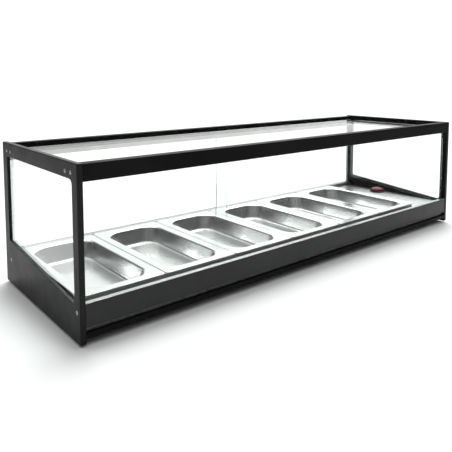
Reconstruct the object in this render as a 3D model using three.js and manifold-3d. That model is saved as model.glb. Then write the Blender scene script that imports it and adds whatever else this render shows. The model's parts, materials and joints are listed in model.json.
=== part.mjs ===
// Countertop hot food display case: two black end frames carry a glazed cabinet over a heated,
// stainless well that holds gastronorm pans. Millimetres, +Z up. The origin is on the table at the
// middle of the case, +X runs to the right along the length and -Y is the customers' side.

import * as THREE from 'three';
import { mergeVertices } from 'three/addons/utils/BufferGeometryUtils.js';
import Module from 'manifold-3d';

const wasm = await Module();
wasm.setup();

// ---------------------------------------------------------------- driving dimensions

const LENGTH = 1220; // over the end frames
const DEPTH = 385; // front edge to back edge of an end frame
const HEIGHT = 316; // table to the top of an end frame
const PLATE = 11; // thickness of an end frame
const PLATE_CLEARANCE = 4; // end frame to table
const BASE_CLEARANCE = 13; // underside of the base to table
const GAP = 0.3; // air left between pieces that touch
const SHEET = 1.2; // stainless sheet
const STEEL = 1.5; // painted sheet

const PAN_COUNT = 6;
const PAN_WIDTH = 176; // gastronorm 1/3, along X
const PAN_LENGTH = 325; // along Y
const PAN_DEPTH = 40;
const PAN_PITCH = 177.5;
const PAN_RIM_TOP = 78.5;
const PAN_FRONT = -167; // front edge of every pan rim
const FIRST_PAN_LEFT = -597; // left edge of the first pan rim

const DECK_TOP = 64;
const FASCIA_TOP = 74.3;
const WINDOW_TOP = 286.4;
const WINDOW_SILL_FRONT = 70;
const WINDOW_SILL_BACK = 101;
const WINDOW_FRONT_POST = 22; // width of the upright beside the window
const WINDOW_BACK_POST = 27;
const REBATE = 8; // how far a side glass reaches behind its window edge
const SIDE_GLASS = 4;
const FRONT_GLASS = 5;
const TOP_GLASS = 6;
const TOP_GLASS_TOP = 301;
const DOOR_GLASS = 4;
const DOOR_OVERLAP = 34;

// Planes and positions that several pieces share.
const FRONT = -DEPTH / 2;
const BACK = DEPTH / 2;
const INNER_X = LENGTH / 2 - PLATE; // inner face of an end frame
const SPAN_X = INNER_X - GAP; // half length of everything between the end frames
const SKIN_FRONT = FRONT + 1; // front face of the rails and the fascia
const SKIN_BACK = BACK - 1;
const PAN_BACK = PAN_FRONT + PAN_LENGTH;
const LAST_PAN_RIGHT = FIRST_PAN_LEFT + (PAN_COUNT - 1) * PAN_PITCH + PAN_WIDTH;
const GLASS_FRONT = -180; // outer face of the front glass
const GLASS_BACK = GLASS_FRONT + FRONT_GLASS;
const INNER_DOOR = 174; // front faces of the two sliding doors
const OUTER_DOOR = 184;
const DOOR_BOTTOM = 67.6;
const DOOR_TOP = 282.4;
const PANEL = 172; // front face of the rear panel
const PANEL_BACK = PANEL + STEEL;
const WELL_FLOOR = 32.3;
const CONTROL_Z = 38; // height of the controls on the rear panel
const KNOB_X = 574;
const SWITCH_X = 534;
const LAMP_X = 554;
const INLET_X = 500;
const LIGHT_SWITCH = [573, 38]; // x and y of the round switch on the deck
const TOP_SCREW_Z = 298;
const TOP_SCREWS_Y = [-166, -143, 144, 166];
const LOW_SCREW_Z = 58.5;
const LOW_SCREWS_Y = [-179, 160.5];

// ---------------------------------------------------------------- finishes

const finish = (color, roughness, metalness, extra = {}) =>
  new THREE.MeshStandardMaterial({ color, roughness, metalness, ...extra });
const clear = { transparent: true, opacity: 0.3 };
const blackPaint = finish(0x1c1c1d, 0.45, 0.1);
const stainless = finish(0xc9cbcc, 0.28, 0.95);
const aluminium = finish(0xb9bcbe, 0.4, 0.9);
const galvanised = finish(0x8f9396, 0.55, 0.7);
const glass = finish(0xdff0ea, 0.03, 0, clear);
const rubber = finish(0x141414, 0.85, 0);
const blackPlastic = finish(0x18181a, 0.5, 0);
const redPlastic = finish(0x8e1f27, 0.3, 0);
const whitePlastic = finish(0xe9e9e4, 0.5, 0);
const insulationWool = finish(0xd8cfae, 0.95, 0);
const zinc = finish(0xc4c6c8, 0.3, 0.9);

// ---------------------------------------------------------------- geometry helpers

const AXES_YZX = new THREE.Matrix4().makeBasis(
  new THREE.Vector3(0, 1, 0), new THREE.Vector3(0, 0, 1), new THREE.Vector3(1, 0, 0));

function box(x0, x1, y0, y1, z0, z1) {
  const geometry = new THREE.BoxGeometry(x1 - x0, y1 - y0, z1 - z0);
  return geometry.translate((x0 + x1) / 2, (y0 + y1) / 2, (z0 + z1) / 2);
}

// A shape whose corners are [a, b, radius]; the radius may be left out for a sharp corner.
function outline(corners) {
  const shape = new THREE.Shape();
  const count = corners.length;
  corners.forEach(([a, b, radius = 0], index) => {
    const here = new THREE.Vector2(a, b);
    const before = new THREE.Vector2(...corners[(index + count - 1) % count].slice(0, 2));
    const after = new THREE.Vector2(...corners[(index + 1) % count].slice(0, 2));
    const back = before.sub(here).normalize();
    const ahead = after.sub(here).normalize();
    const half = Math.acos(THREE.MathUtils.clamp(back.dot(ahead), -1, 1)) / 2;
    const setback = radius / Math.tan(half);
    const start = here.clone().addScaledVector(back, setback);
    const end = here.clone().addScaledVector(ahead, setback);
    if (index === 0) shape.moveTo(start.x, start.y);
    else shape.lineTo(start.x, start.y);
    if (radius === 0) return;
    const toCentre = back.clone().add(ahead).normalize().multiplyScalar(radius / Math.sin(half));
    const centre = here.clone().add(toCentre);
    const from = Math.atan2(start.y - centre.y, start.x - centre.x);
    const to = Math.atan2(end.y - centre.y, end.x - centre.x);
    const clockwise = back.cross(ahead) > 0;
    shape.absarc(centre.x, centre.y, radius, from, to, clockwise);
  });
  shape.closePath();
  return shape;
}

function rectangle(a0, a1, b0, b1, radius = 0) {
  return outline([[a0, b0, radius], [a1, b0, radius], [a1, b1, radius], [a0, b1, radius]]);
}

// Outline in (y, z), pushed along X from x0 to x1.
function alongX(shape, x0, x1, curveSegments = 2) {
  const options = { depth: x1 - x0, bevelEnabled: false, curveSegments };
  return new THREE.ExtrudeGeometry(shape, options).applyMatrix4(AXES_YZX).translate(x0, 0, 0);
}

// Outline in (x, z), pushed along Y from y0 to y1.
function alongY(shape, y0, y1, curveSegments = 2) {
  const options = { depth: y1 - y0, bevelEnabled: false, curveSegments };
  return new THREE.ExtrudeGeometry(shape, options).rotateX(Math.PI / 2).translate(0, y1, 0);
}

// Outline in (x, y), pushed along Z from z0 to z1.
function alongZ(shape, z0, z1, curveSegments = 2) {
  const options = { depth: z1 - z0, bevelEnabled: false, curveSegments };
  return new THREE.ExtrudeGeometry(shape, options).translate(0, 0, z0);
}

// Profile of [radius, height] pairs turned about Z, then laid along another axis if asked.
function turned(profile, axis = 'Z', segments = 24) {
  const points = profile.map(([radius, height]) => new THREE.Vector2(radius, height));
  const geometry = new THREE.LatheGeometry(points, segments).rotateX(Math.PI / 2);
  if (axis === 'Y') geometry.rotateX(-Math.PI / 2);
  if (axis === 'X') geometry.rotateY(Math.PI / 2);
  return geometry;
}

function rod(axis, radius, from, to, across, segments = 12) {
  const geometry = turned([[0, from], [radius, from], [radius, to], [0, to]], axis, segments);
  if (axis === 'X') return geometry.translate(0, ...across);
  if (axis === 'Y') return geometry.translate(across[0], 0, across[1]);
  return geometry.translate(...across, 0);
}

function toSolid(geometry) {
  const bare = geometry.clone();
  bare.deleteAttribute('normal');
  bare.deleteAttribute('uv');
  const merged = mergeVertices(bare, 1e-4);
  const vertProperties = new Float32Array(merged.attributes.position.array);
  const triVerts = new Uint32Array(merged.index.array);
  return new wasm.Manifold(new wasm.Mesh({ numProp: 3, vertProperties, triVerts }));
}

function toGeometry(solid) {
  const mesh = solid.getMesh();
  const geometry = new THREE.BufferGeometry();
  geometry.setAttribute('position', new THREE.BufferAttribute(mesh.vertProperties, 3));
  geometry.setIndex(new THREE.BufferAttribute(mesh.triVerts, 1));
  geometry.computeVertexNormals();
  return geometry;
}

const joined = (...parts) => toGeometry(parts.map(toSolid).reduce((sum, part) => sum.add(part)));
const cut = (body, ...tools) =>
  toGeometry(tools.map(toSolid).reduce((left, tool) => left.subtract(tool), toSolid(body)));
const mirroredX = (geometry) => {
  const copy = geometry.clone().scale(-1, 1, 1);
  const index = copy.index ? Array.from(copy.index.array)
    : Array.from({ length: copy.attributes.position.count }, (_, i) => i);
  for (let i = 0; i < index.length; i += 3) [index[i], index[i + 1]] = [index[i + 1], index[i]];
  copy.setIndex(index);
  return copy;
};

const group = new THREE.Group();

function add(name, geometry, material, position = [0, 0, 0]) {
  const mesh = new THREE.Mesh(geometry, material);
  mesh.name = name;
  mesh.position.set(...position);
  group.add(mesh);
}

// ---------------------------------------------------------------- end frames and their glass

const SCREW_SHANK = 2;
const SCREW_HEAD = 3.6;
const SCREW_SOCKET = 1.4;
const SCREW_PLAY = 0.4; // clearance round a shank or head
const TAB = 4; // thickness of the cleat at each end of a rail that the screws bite into

function windowCorners(grow) {
  const slope = (WINDOW_SILL_BACK - WINDOW_SILL_FRONT) /
    (DEPTH - WINDOW_FRONT_POST - WINDOW_BACK_POST);
  const front = FRONT + WINDOW_FRONT_POST - grow;
  const back = BACK - WINDOW_BACK_POST + grow;
  const drop = grow * Math.hypot(1, slope);
  const rise = (y) => WINDOW_SILL_FRONT + slope * (y - FRONT - WINDOW_FRONT_POST) - drop;
  const top = WINDOW_TOP + grow;
  return [[front, rise(front), 10], [back, rise(back), 5], [back, top, 5], [front, top, 10]];
}

function screwHole(y, z) {
  const outer = LENGTH / 2;
  const head = turned([
    [0, outer - PLATE - 1], [SCREW_SHANK + SCREW_PLAY, outer - PLATE - 1],
    [SCREW_SHANK + SCREW_PLAY, outer - 2.2], [SCREW_HEAD + SCREW_PLAY, outer - 0.2],
    [SCREW_HEAD + SCREW_PLAY, outer + 1], [0, outer + 1],
  ], 'X', 8);
  return head.translate(0, y, z);
}

// The right-hand frame; the left one is its mirror image.
function endFrame() {
  const border = rectangle(FRONT, BACK, PLATE_CLEARANCE, HEIGHT, 3);
  const plate = alongX(border, INNER_X, LENGTH / 2);
  const window = alongX(outline(windowCorners(0)), INNER_X - 1, LENGTH / 2 + 1);
  const rebate = alongX(outline(windowCorners(REBATE)), INNER_X - 1, INNER_X + SIDE_GLASS + GAP);
  const holes = [
    ...TOP_SCREWS_Y.map((y) => screwHole(y, TOP_SCREW_Z)),
    ...LOW_SCREWS_Y.map((y) => screwHole(y, LOW_SCREW_Z)),
  ];
  return cut(plate, window, rebate, ...holes);
}

function sideGlass() {
  return alongX(outline(windowCorners(REBATE - GAP)), INNER_X, INNER_X + SIDE_GLASS);
}

// Countersunk screw along X, drawn six-sided, its head flush with the outer face round a socket.
function frameScrew() {
  const outer = LENGTH / 2 - 0.2;
  const tip = outer - PLATE - TAB;
  const socketFloor = outer - 1.2;
  return turned([
    [0, tip], [SCREW_SHANK, tip], [SCREW_SHANK, outer - 2], [SCREW_HEAD, outer - 0.2],
    [SCREW_HEAD, outer], [SCREW_SOCKET, outer], [SCREW_SOCKET, socketFloor], [0, socketFloor],
  ], 'X', 6);
}

function addEndFrames() {
  const frame = endFrame();
  const pane = sideGlass();
  add('right_end_frame', frame, blackPaint);
  add('left_end_frame', mirroredX(frame), blackPaint);
  add('right_side_glass', pane, glass);
  add('left_side_glass', mirroredX(pane), glass);
  const screw = frameScrew();
  const places = [
    ...TOP_SCREWS_Y.map((y, i) => [`top_${i + 1}`, y, TOP_SCREW_Z]),
    ...LOW_SCREWS_Y.map((y, i) => [`low_${i + 1}`, y, LOW_SCREW_Z]),
  ];
  for (const [label, y, z] of places) {
    add(`right_screw_${label}`, screw, zinc, [0, y, z]);
    add(`left_screw_${label}`, mirroredX(screw), zinc, [0, y, z]);
  }
}

// ---------------------------------------------------------------- top rails and top glass

const RAIL_WALL = 2;
const LEDGE = 3;
const GLASS_BED = TOP_GLASS_TOP - TOP_GLASS - GAP; // top of the ledges under the top glass
const CLEAT_REACH = 136; // how near the middle a cleat comes, front and back
const FRONT_RAIL = { front: SKIN_FRONT, back: -169.5, bottom: 284, top: 314.8, ledge: -158 };
const REAR_RAIL = { front: 171, back: SKIN_BACK, bottom: 287.1, top: 313.1, ledge: 158 };

function endTabs(y0, y1, screwsY) {
  const z0 = GLASS_BED - LEDGE;
  const z1 = TOP_SCREW_Z + 8;
  const tab = box(SPAN_X - TAB, SPAN_X, y0, y1, z0, z1);
  const holes = screwsY.map((y) =>
    rod('X', SCREW_SHANK + SCREW_PLAY, SPAN_X - TAB - 1, SPAN_X + 1, [y, TOP_SCREW_Z]));
  const right = cut(tab, ...holes);
  return [right, mirroredX(right)];
}

// Box section with a slot underneath for the front glass and a ledge behind for the top glass.
function frontTopRail() {
  const { front, back, bottom, top, ledge } = FRONT_RAIL;
  const slotFront = GLASS_FRONT - 0.4;
  const slotBack = GLASS_BACK + 0.4;
  const slotTop = GLASS_BED - LEDGE;
  const section = outline([
    [front, bottom, 1], [slotFront, bottom], [slotFront, slotTop], [slotBack, slotTop],
    [slotBack, bottom], [back, bottom], [back, slotTop], [ledge, slotTop], [ledge, GLASS_BED],
    [back, GLASS_BED], [back, top, 1], [front, top, 1.5],
  ]);
  section.holes.push(outline([
    [front + RAIL_WALL, bottom + RAIL_WALL], [slotFront - RAIL_WALL, bottom + RAIL_WALL],
    [slotFront - RAIL_WALL, slotTop + RAIL_WALL], [back - RAIL_WALL, slotTop + RAIL_WALL],
    [back - RAIL_WALL, top - RAIL_WALL], [front + RAIL_WALL, top - RAIL_WALL],
  ]));
  const tabs = endTabs(back - 1, -CLEAT_REACH, TOP_SCREWS_Y.slice(0, 2));
  return joined(alongX(section, -SPAN_X, SPAN_X), ...tabs);
}

function rearTopRail() {
  const { front, back, bottom, top, ledge } = REAR_RAIL;
  const ledgeBottom = GLASS_BED - LEDGE;
  const section = outline([
    [front, bottom], [back, bottom, 1], [back, top, 1.5], [front, top, 1], [front, GLASS_BED],
    [ledge, GLASS_BED], [ledge, ledgeBottom], [front, ledgeBottom],
  ]);
  section.holes.push(rectangle(
    front + RAIL_WALL, back - RAIL_WALL, bottom + RAIL_WALL, top - RAIL_WALL));
  const tabs = endTabs(CLEAT_REACH, front + 1, TOP_SCREWS_Y.slice(2));
  return joined(alongX(section, -SPAN_X, SPAN_X), ...tabs);
}

function topGlass() {
  const ends = SPAN_X - TAB - 0.7;
  const z0 = TOP_GLASS_TOP - TOP_GLASS;
  return box(-ends, ends, FRONT_RAIL.back + GAP, REAR_RAIL.front - GAP, z0, TOP_GLASS_TOP);
}

// ---------------------------------------------------------------- front: glass, fascia, groove

const FASCIA_BOTTOM = 32.8;
const LOWER_RAIL_TOP = 23.6;
const TRAY_FRONT = -184.8;
const CHANNEL_FLOOR = 63.2;
const FLANGE = 1;

function frontFascia() {
  const y = SKIN_FRONT;
  const lip = GLASS_FRONT - SHEET - 1.1; // back edge of the folded top
  return alongX(outline([
    [y, FASCIA_BOTTOM, 1], [y + 5.5, FASCIA_BOTTOM], [y + 5.5, FASCIA_BOTTOM + STEEL],
    [y + STEEL, FASCIA_BOTTOM + STEEL], [y + STEEL, FASCIA_TOP - STEEL],
    [lip, FASCIA_TOP - STEEL], [lip, FASCIA_TOP], [y, FASCIA_TOP, 1],
  ]), -SPAN_X, SPAN_X);
}

function frontLowerRail() {
  const y = SKIN_FRONT;
  const inner = TRAY_FRONT - GAP;
  return alongX(outline([
    [y, BASE_CLEARANCE, 1], [inner, BASE_CLEARANCE], [inner, BASE_CLEARANCE + STEEL],
    [y + STEEL, BASE_CLEARANCE + STEEL], [y + STEEL, LOWER_RAIL_TOP - STEEL],
    [inner, LOWER_RAIL_TOP - STEEL], [inner, LOWER_RAIL_TOP], [y, LOWER_RAIL_TOP, 1],
  ]), -SPAN_X, SPAN_X);
}

// Bright flange over the fascia that folds down into a shelf for the front glass.
function frontGlassChannel() {
  const top = FASCIA_TOP + GAP + FLANGE;
  const wall = GLASS_FRONT - 0.6;
  return alongX(outline([
    [SKIN_FRONT + 0.3, top - FLANGE], [wall - SHEET, top - FLANGE], [wall - SHEET, CHANNEL_FLOOR],
    [GLASS_BACK + 1.4, CHANNEL_FLOOR], [GLASS_BACK + 1.4, CHANNEL_FLOOR + SHEET],
    [wall, CHANNEL_FLOOR + SHEET], [wall, top, 0.8], [SKIN_FRONT + 0.3, top],
  ]), -SPAN_X, SPAN_X);
}

const GASKET_SOLE = CHANNEL_FLOOR + SHEET + GAP;

function frontGlassGasket() {
  return alongX(outline([
    [GLASS_FRONT - 0.3, GASKET_SOLE], [GLASS_BACK + 1.3, GASKET_SOLE],
    [GLASS_BACK + 1.3, GASKET_SOLE + 6.5], [GLASS_BACK + GAP, GASKET_SOLE + 6.5],
    [GLASS_BACK + GAP, GASKET_SOLE + 1.5], [GLASS_FRONT - 0.3, GASKET_SOLE + 1.5],
  ]), -SPAN_X, SPAN_X);
}

function frontGlass() {
  const top = GLASS_BED - LEDGE - 0.5;
  return box(-SPAN_X + 0.2, SPAN_X - 0.2, GLASS_FRONT, GLASS_BACK, GASKET_SOLE + 1.8, top);
}

// ---------------------------------------------------------------- base, deck and well

const TRAY_WALL_TOP = 62.4;
const SEAT_TOP = PAN_RIM_TOP - 1.5; // what the pan rims rest on
const WELL = { left: -594, right: LAST_PAN_RIGHT - 3, front: -163.5, back: 155.7 };
const SEAT = 8.5; // width of the seat between the upstand and the well wall
const SEAT_CORNER = 12;
const DECK_FRONT = GLASS_BACK + 1.8; // just clear of the shelf under the front glass
const DECK_HEM = 8;
const SWITCH_HOLE = 14.5; // radii of the round switch's hole and button
const SWITCH_BUTTON = 22;

function baseTray() {
  const bottom = BASE_CLEARANCE;
  const floor = box(-SPAN_X, SPAN_X, TRAY_FRONT, PANEL_BACK, bottom, bottom + SHEET);
  const wall = box(-SPAN_X, SPAN_X, TRAY_FRONT, TRAY_FRONT + SHEET, bottom, TRAY_WALL_TOP);
  const end = box(SPAN_X - SHEET, SPAN_X, TRAY_FRONT, PANEL_BACK, bottom, TRAY_WALL_TOP);
  const holes = LOW_SCREWS_Y.flatMap((y) =>
    [-1, 1].map((side) => rod('X', SCREW_SHANK + SCREW_PLAY, side * SPAN_X - 5, side * SPAN_X + 5,
      [y, LOW_SCREW_Z])));
  return cut(joined(floor, wall, end, mirroredX(end)), ...holes);
}

function deckPanel() {
  const sheet = box(-SPAN_X, SPAN_X, DECK_FRONT, SKIN_BACK, DECK_TOP - SHEET, DECK_TOP);
  const hem = box(-SPAN_X, SPAN_X, SKIN_BACK - SHEET, SKIN_BACK, DECK_TOP - DECK_HEM, DECK_TOP);
  const hole = box(WELL.left + 4, WELL.right - 4, WELL.front + 4, WELL.back - 4, 0, HEIGHT);
  const switchHole = rod('Z', SWITCH_HOLE, 0, HEIGHT, LIGHT_SWITCH, 24);
  return cut(joined(sheet, hem), hole, switchHole);
}

// Upstand and seat that the pan rims rest on, with the well hanging from the seat.
function wellTray() {
  const { left, right, front, back } = WELL;
  const bottom = DECK_TOP + GAP;
  const ring = cut(
    alongZ(rectangle(left, right, front, back, SEAT_CORNER), bottom, SEAT_TOP),
    alongZ(rectangle(left + SHEET, right - SHEET, front + SHEET, back - SHEET,
      SEAT_CORNER - SHEET), 0, SEAT_TOP - SHEET));
  const [x0, x1, y0, y1] = [left + SEAT, right - SEAT, front + SEAT, back - SEAT];
  const wall = box(x0 - SHEET, x1 + SHEET, y0 - SHEET, y1 + SHEET, WELL_FLOOR, SEAT_TOP - 0.5);
  const hollow = box(x0, x1, y0, y1, WELL_FLOOR + SHEET, HEIGHT);
  return cut(joined(ring, wall), hollow);
}

const TRAY_TOP = BASE_CLEARANCE + SHEET; // upper side of the tray's floor
const INSULATION_TOP = 20;

// Board on the tray's floor, as large as the well above it.
function insulationBoard() {
  return box(WELL.left + 4, WELL.right - 5.5, WELL.front - 8.5, WELL.back + 4.3,
    TRAY_TOP + GAP, INSULATION_TOP);
}

// Tubular heater: two straight legs under the well, joined by a half-circle bend.
const HEATER = { left: -550, right: 475, z: 26, radius: 4, bend: 30, rows: [-84, 76] };

function heatingElement(middleY) {
  const { left, right, z, radius, bend } = HEATER;
  const legs = [-bend, bend].map((dy) => rod('X', radius, left, right, [middleY + dy, z], 10));
  const arc = new THREE.Shape();
  arc.absarc(0, 0, bend + radius * 0.9, Math.PI / 2, Math.PI * 1.5, false);
  arc.absarc(0, 0, bend - radius * 0.9, Math.PI * 1.5, Math.PI / 2, true);
  const turn = new THREE.ExtrudeGeometry(arc, {
    depth: radius * 1.8, bevelEnabled: false, curveSegments: 10 });
  turn.translate(left + 0.5, middleY, z - radius * 0.9);
  return joined(...legs, turn);
}

const FOOT_RADIUS = 18;
const FEET_X = 555;
const FEET_Y = 145;

function foot() {
  const top = BASE_CLEARANCE - GAP;
  return turned([
    [0, 0], [FOOT_RADIUS - 1.5, 0], [FOOT_RADIUS, 1.5], [FOOT_RADIUS - 1, 11],
    [FOOT_RADIUS - 2, top], [0, top],
  ], 'Z', 16);
}

function addFeet() {
  const places = { front_left: [-1, -1], front_right: [1, -1], rear_left: [-1, 1], rear_right: [1, 1] };
  for (const [label, [sideX, sideY]] of Object.entries(places)) {
    add(`foot_${label}`, foot(), rubber, [sideX * FEET_X, sideY * FEET_Y, 0]);
  }
}

// ---------------------------------------------------------------- pans

const PAN_CORNER_POINTS = 5;

// One closed ring of a pan: inset from the rim edge and height below the rim top.
function panRing(inset, height) {
  const [a, b] = [PAN_WIDTH / 2 - inset, PAN_LENGTH / 2 - inset];
  const radius = 10 + 32 * Math.min(1, inset / 26);
  const centres = [[1, 1], [-1, 1], [-1, -1], [1, -1]];
  return centres.flatMap(([sideX, sideY], corner) =>
    Array.from({ length: PAN_CORNER_POINTS }, (_, step) => {
      const angle = (corner + step / (PAN_CORNER_POINTS - 1)) * Math.PI / 2;
      const x = sideX * (a - radius) + radius * Math.cos(angle);
      const y = sideY * (b - radius) + radius * Math.sin(angle);
      return [x, y, height];
    }));
}

// Skin through rings of equal length, closed with a flat cap at each end.
function lofted(rings) {
  const perRing = rings[0].length;
  const positions = rings.flat(2);
  const index = [];
  for (let ring = 0; ring + 1 < rings.length; ring += 1) {
    for (let i = 0; i < perRing; i += 1) {
      const next = (i + 1) % perRing;
      const [a, b] = [ring * perRing + i, ring * perRing + next];
      const [c, d] = [a + perRing, b + perRing];
      index.push(a, b, d, a, d, c);
    }
  }
  const last = (rings.length - 1) * perRing;
  for (let i = 1; i + 1 < perRing; i += 1) {
    index.push(0, i + 1, i);
    index.push(last, last + i, last + i + 1);
  }
  const geometry = new THREE.BufferGeometry();
  geometry.setAttribute('position', new THREE.Float32BufferAttribute(positions, 3));
  geometry.setIndex(index);
  geometry.computeVertexNormals();
  return geometry;
}

// From the middle of the underside, up the outside, round the rim and down the inside.
function pan() {
  const profile = [
    [33, -PAN_DEPTH], [28, 4 - PAN_DEPTH], [25, -16], [21, -6], [12.5, -1.1], [0.4, -1.1],
    [0, -0.6], [0.6, 0], [12.5, 0], [18, -1.5], [22.2, -5], [26, -15.6],
    [29.2, 5 - PAN_DEPTH], [34, 1 - PAN_DEPTH],
  ];
  return lofted(profile.map(([inset, height]) => panRing(inset, height)));
}

function addPans() {
  const middleY = (PAN_FRONT + PAN_BACK) / 2;
  for (let i = 0; i < PAN_COUNT; i += 1) {
    const middleX = FIRST_PAN_LEFT + PAN_WIDTH / 2 + i * PAN_PITCH;
    add(`pan_${i + 1}`, pan(), stainless, [middleX, middleY, PAN_RIM_TOP]);
  }
}

// ---------------------------------------------------------------- sliding rear doors

const DOOR_PLAY = 0.8;
const UPPER_TRACK = { bottom: 276.1, top: 286.8, slotTop: 284.5 };
const LOWER_TRACK = { bottom: DECK_TOP + GAP, top: 74.3, slotBottom: 67 };
const PULL = { width: 12, bottom: 140, top: 215, fromEnd: 15 };

function doorTrack(bottom, top, slotFrom, slotTo) {
  const slots = [INNER_DOOR, OUTER_DOOR].map((y) =>
    box(-LENGTH, LENGTH, y - DOOR_PLAY, y + DOOR_GLASS + DOOR_PLAY, slotFrom, slotTo));
  const bar = alongX(rectangle(REAR_RAIL.front, SKIN_BACK, bottom, top, 0.8), -SPAN_X, SPAN_X);
  return cut(bar, ...slots);
}

function addDoors() {
  const outerEnd = SPAN_X - 0.4;
  const meet = DOOR_OVERLAP / 2;
  const pane = (x0, x1, y) => box(x0, x1, y, y + DOOR_GLASS, DOOR_BOTTOM, DOOR_TOP);
  add('upper_door_track',
    doorTrack(UPPER_TRACK.bottom, UPPER_TRACK.top, 0, UPPER_TRACK.slotTop), whitePlastic);
  add('lower_door_track',
    doorTrack(LOWER_TRACK.bottom, LOWER_TRACK.top, LOWER_TRACK.slotBottom, HEIGHT), aluminium);
  add('rear_door_left', pane(-outerEnd, meet, INNER_DOOR), glass);
  add('rear_door_right', pane(-meet, outerEnd, OUTER_DOOR), glass);
  const pull = (x, y, thickness) =>
    box(x, x + PULL.width, y, y + thickness, PULL.bottom, PULL.top);
  const pullX = outerEnd - PULL.fromEnd - PULL.width;
  add('door_pull_left',
    pull(-pullX - PULL.width, INNER_DOOR + DOOR_GLASS + GAP, 4), glass);
  add('door_pull_right', pull(pullX, OUTER_DOOR + DOOR_GLASS + GAP, 2.9), glass);
}

// ---------------------------------------------------------------- rear panel and its controls

const VENT_X = Array.from({ length: 10 }, (_, column) => -480 + 80 * column);
const VENT_Z = [30, 38, 46];
const VENT = { length: 50, height: 3.4 };
const LAMP_Z = 50;

function rearPanel() {
  const z0 = TRAY_TOP + GAP;
  const end = SPAN_X - SHEET - GAP;
  const sheet = box(-end, end, PANEL, PANEL_BACK, z0, TRAY_WALL_TOP);
  const [from, to] = [PANEL - 5, PANEL_BACK + 5];
  const vents = VENT_X.flatMap((x) =>
    VENT_Z.map((z) => box(x, x + VENT.length, from, to, z, z + VENT.height)));
  return cut(sheet, ...vents,
    rod('Y', 4, from, to, [KNOB_X, CONTROL_Z], 16),
    rod('Y', 3.6, from, to, [LAMP_X, LAMP_Z], 12),
    box(SWITCH_X - 6.6, SWITCH_X + 6.6, from, to, CONTROL_Z - 10.6, CONTROL_Z + 10.6),
    box(INLET_X - 14, INLET_X + 14, from, to, CONTROL_Z - 10.3, CONTROL_Z + 10.3));
}

function thermostatBody() {
  const body = alongY(rectangle(KNOB_X - 14, KNOB_X + 14, CONTROL_Z - 15, CONTROL_Z + 15, 2),
    140, PANEL - GAP);
  return cut(body, rod('Y', 3.4, PANEL - 10, PANEL + 1, [KNOB_X, CONTROL_Z], 16));
}

// Round knob with a pointer ridge, on a shaft that runs into the thermostat.
function thermostatKnob() {
  const face = PANEL_BACK + 0.6;
  const knob = turned([
    [0, PANEL - 8], [3, PANEL - 8], [3, face], [14, face], [14, face + 3], [11.5, face + 5],
    [10.8, face + 14], [10, face + 15], [0, face + 15],
  ], 'Y').translate(KNOB_X, 0, CONTROL_Z);
  const pointer = box(KNOB_X - 1.5, KNOB_X + 1.5, face + 4, face + 16.5, CONTROL_Z + 2,
    CONTROL_Z + 13);
  return joined(knob, pointer);
}

// Sensing bulb under the well with the thin capillary that runs back to the thermostat.
function thermostatSensor() {
  const bulb = rod('X', 3.5, 340, 430, [0, 26], 10);
  const route = [[428, 0, 26], [470, 0, 24], [490, 30, 22], [492, 110, 24], [520, 150, 28],
    [559.4, 152, 28]];
  const path = new THREE.CatmullRomCurve3(route.map((point) => new THREE.Vector3(...point)));
  const section = new THREE.Shape().absarc(0, 0, 1.1, 0, Math.PI * 2, false);
  const tube = new THREE.ExtrudeGeometry(section, {
    extrudePath: path, steps: 16, bevelEnabled: false, curveSegments: 4 });
  return joined(bulb, tube);
}

function powerSwitchHousing() {
  const [x, z] = [SWITCH_X, CONTROL_Z];
  const bezel = box(x - 7.6, x + 7.6, PANEL_BACK + GAP, PANEL_BACK + 2.3, z - 12, z + 12);
  const body = box(x - 6.3, x + 6.3, PANEL - 16, PANEL_BACK + 1, z - 10.3, z + 10.3);
  const mouth = box(x - 4.8, x + 4.8, PANEL - 8, PANEL_BACK + 5, z - 9.5, z + 9.5);
  return cut(joined(bezel, body), mouth);
}

const ROCKER_TILT = 9; // degrees either side of level
const ROCKER_PIVOT_Y = PANEL_BACK - 1;

// Rocker lying in its off position: its upper end stands proud.
function powerRocker() {
  const section = outline([
    [-3.2, -7.6], [3.4, -8.4, 0.6], [2.2, 0], [3.4, 8.4, 0.6], [-3.2, 7.6], [-4.4, 0],
  ]);
  return alongX(section, -4.4, 4.4).rotateX(THREE.MathUtils.degToRad(-ROCKER_TILT))
    .translate(SWITCH_X, ROCKER_PIVOT_Y, CONTROL_Z);
}

function pilotLamp() {
  const face = PANEL_BACK + GAP;
  return turned([
    [0, PANEL - 10], [3.2, PANEL - 10], [3.2, face], [5, face], [5, face + 1.2], [4, face + 2],
    [3.2, face + 3.6], [1.8, face + 4.6], [0, face + 5],
  ], 'Y', 16).translate(LAMP_X, 0, LAMP_Z);
}

// Appliance inlet: flanged housing with a socket and three flat contacts.
function powerInlet() {
  const [x, z] = [INLET_X, CONTROL_Z];
  const flange = alongY(rectangle(x - 16, x + 16, z - 12.5, z + 12.5, 2),
    PANEL_BACK + GAP, PANEL_BACK + 3);
  const body = box(x - 13.6, x + 13.6, PANEL - 18, PANEL_BACK + 1, z - 9.9, z + 9.9);
  const socket = alongY(outline([
    [x - 12, z - 8], [x + 12, z - 8], [x + 12, z + 4], [x + 8, z + 8], [x - 8, z + 8],
    [x - 12, z + 4],
  ]), PANEL - 13, PANEL_BACK + 5);
  const contact = (dx, dz) =>
    box(x + dx - 1, x + dx + 1, PANEL - 14, PANEL_BACK - 1, z + dz - 2, z + dz + 2);
  return joined(cut(joined(flange, body), socket), contact(-7, -2), contact(7, -2), contact(0, 3));
}

// ---------------------------------------------------------------- light switch on the deck

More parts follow.
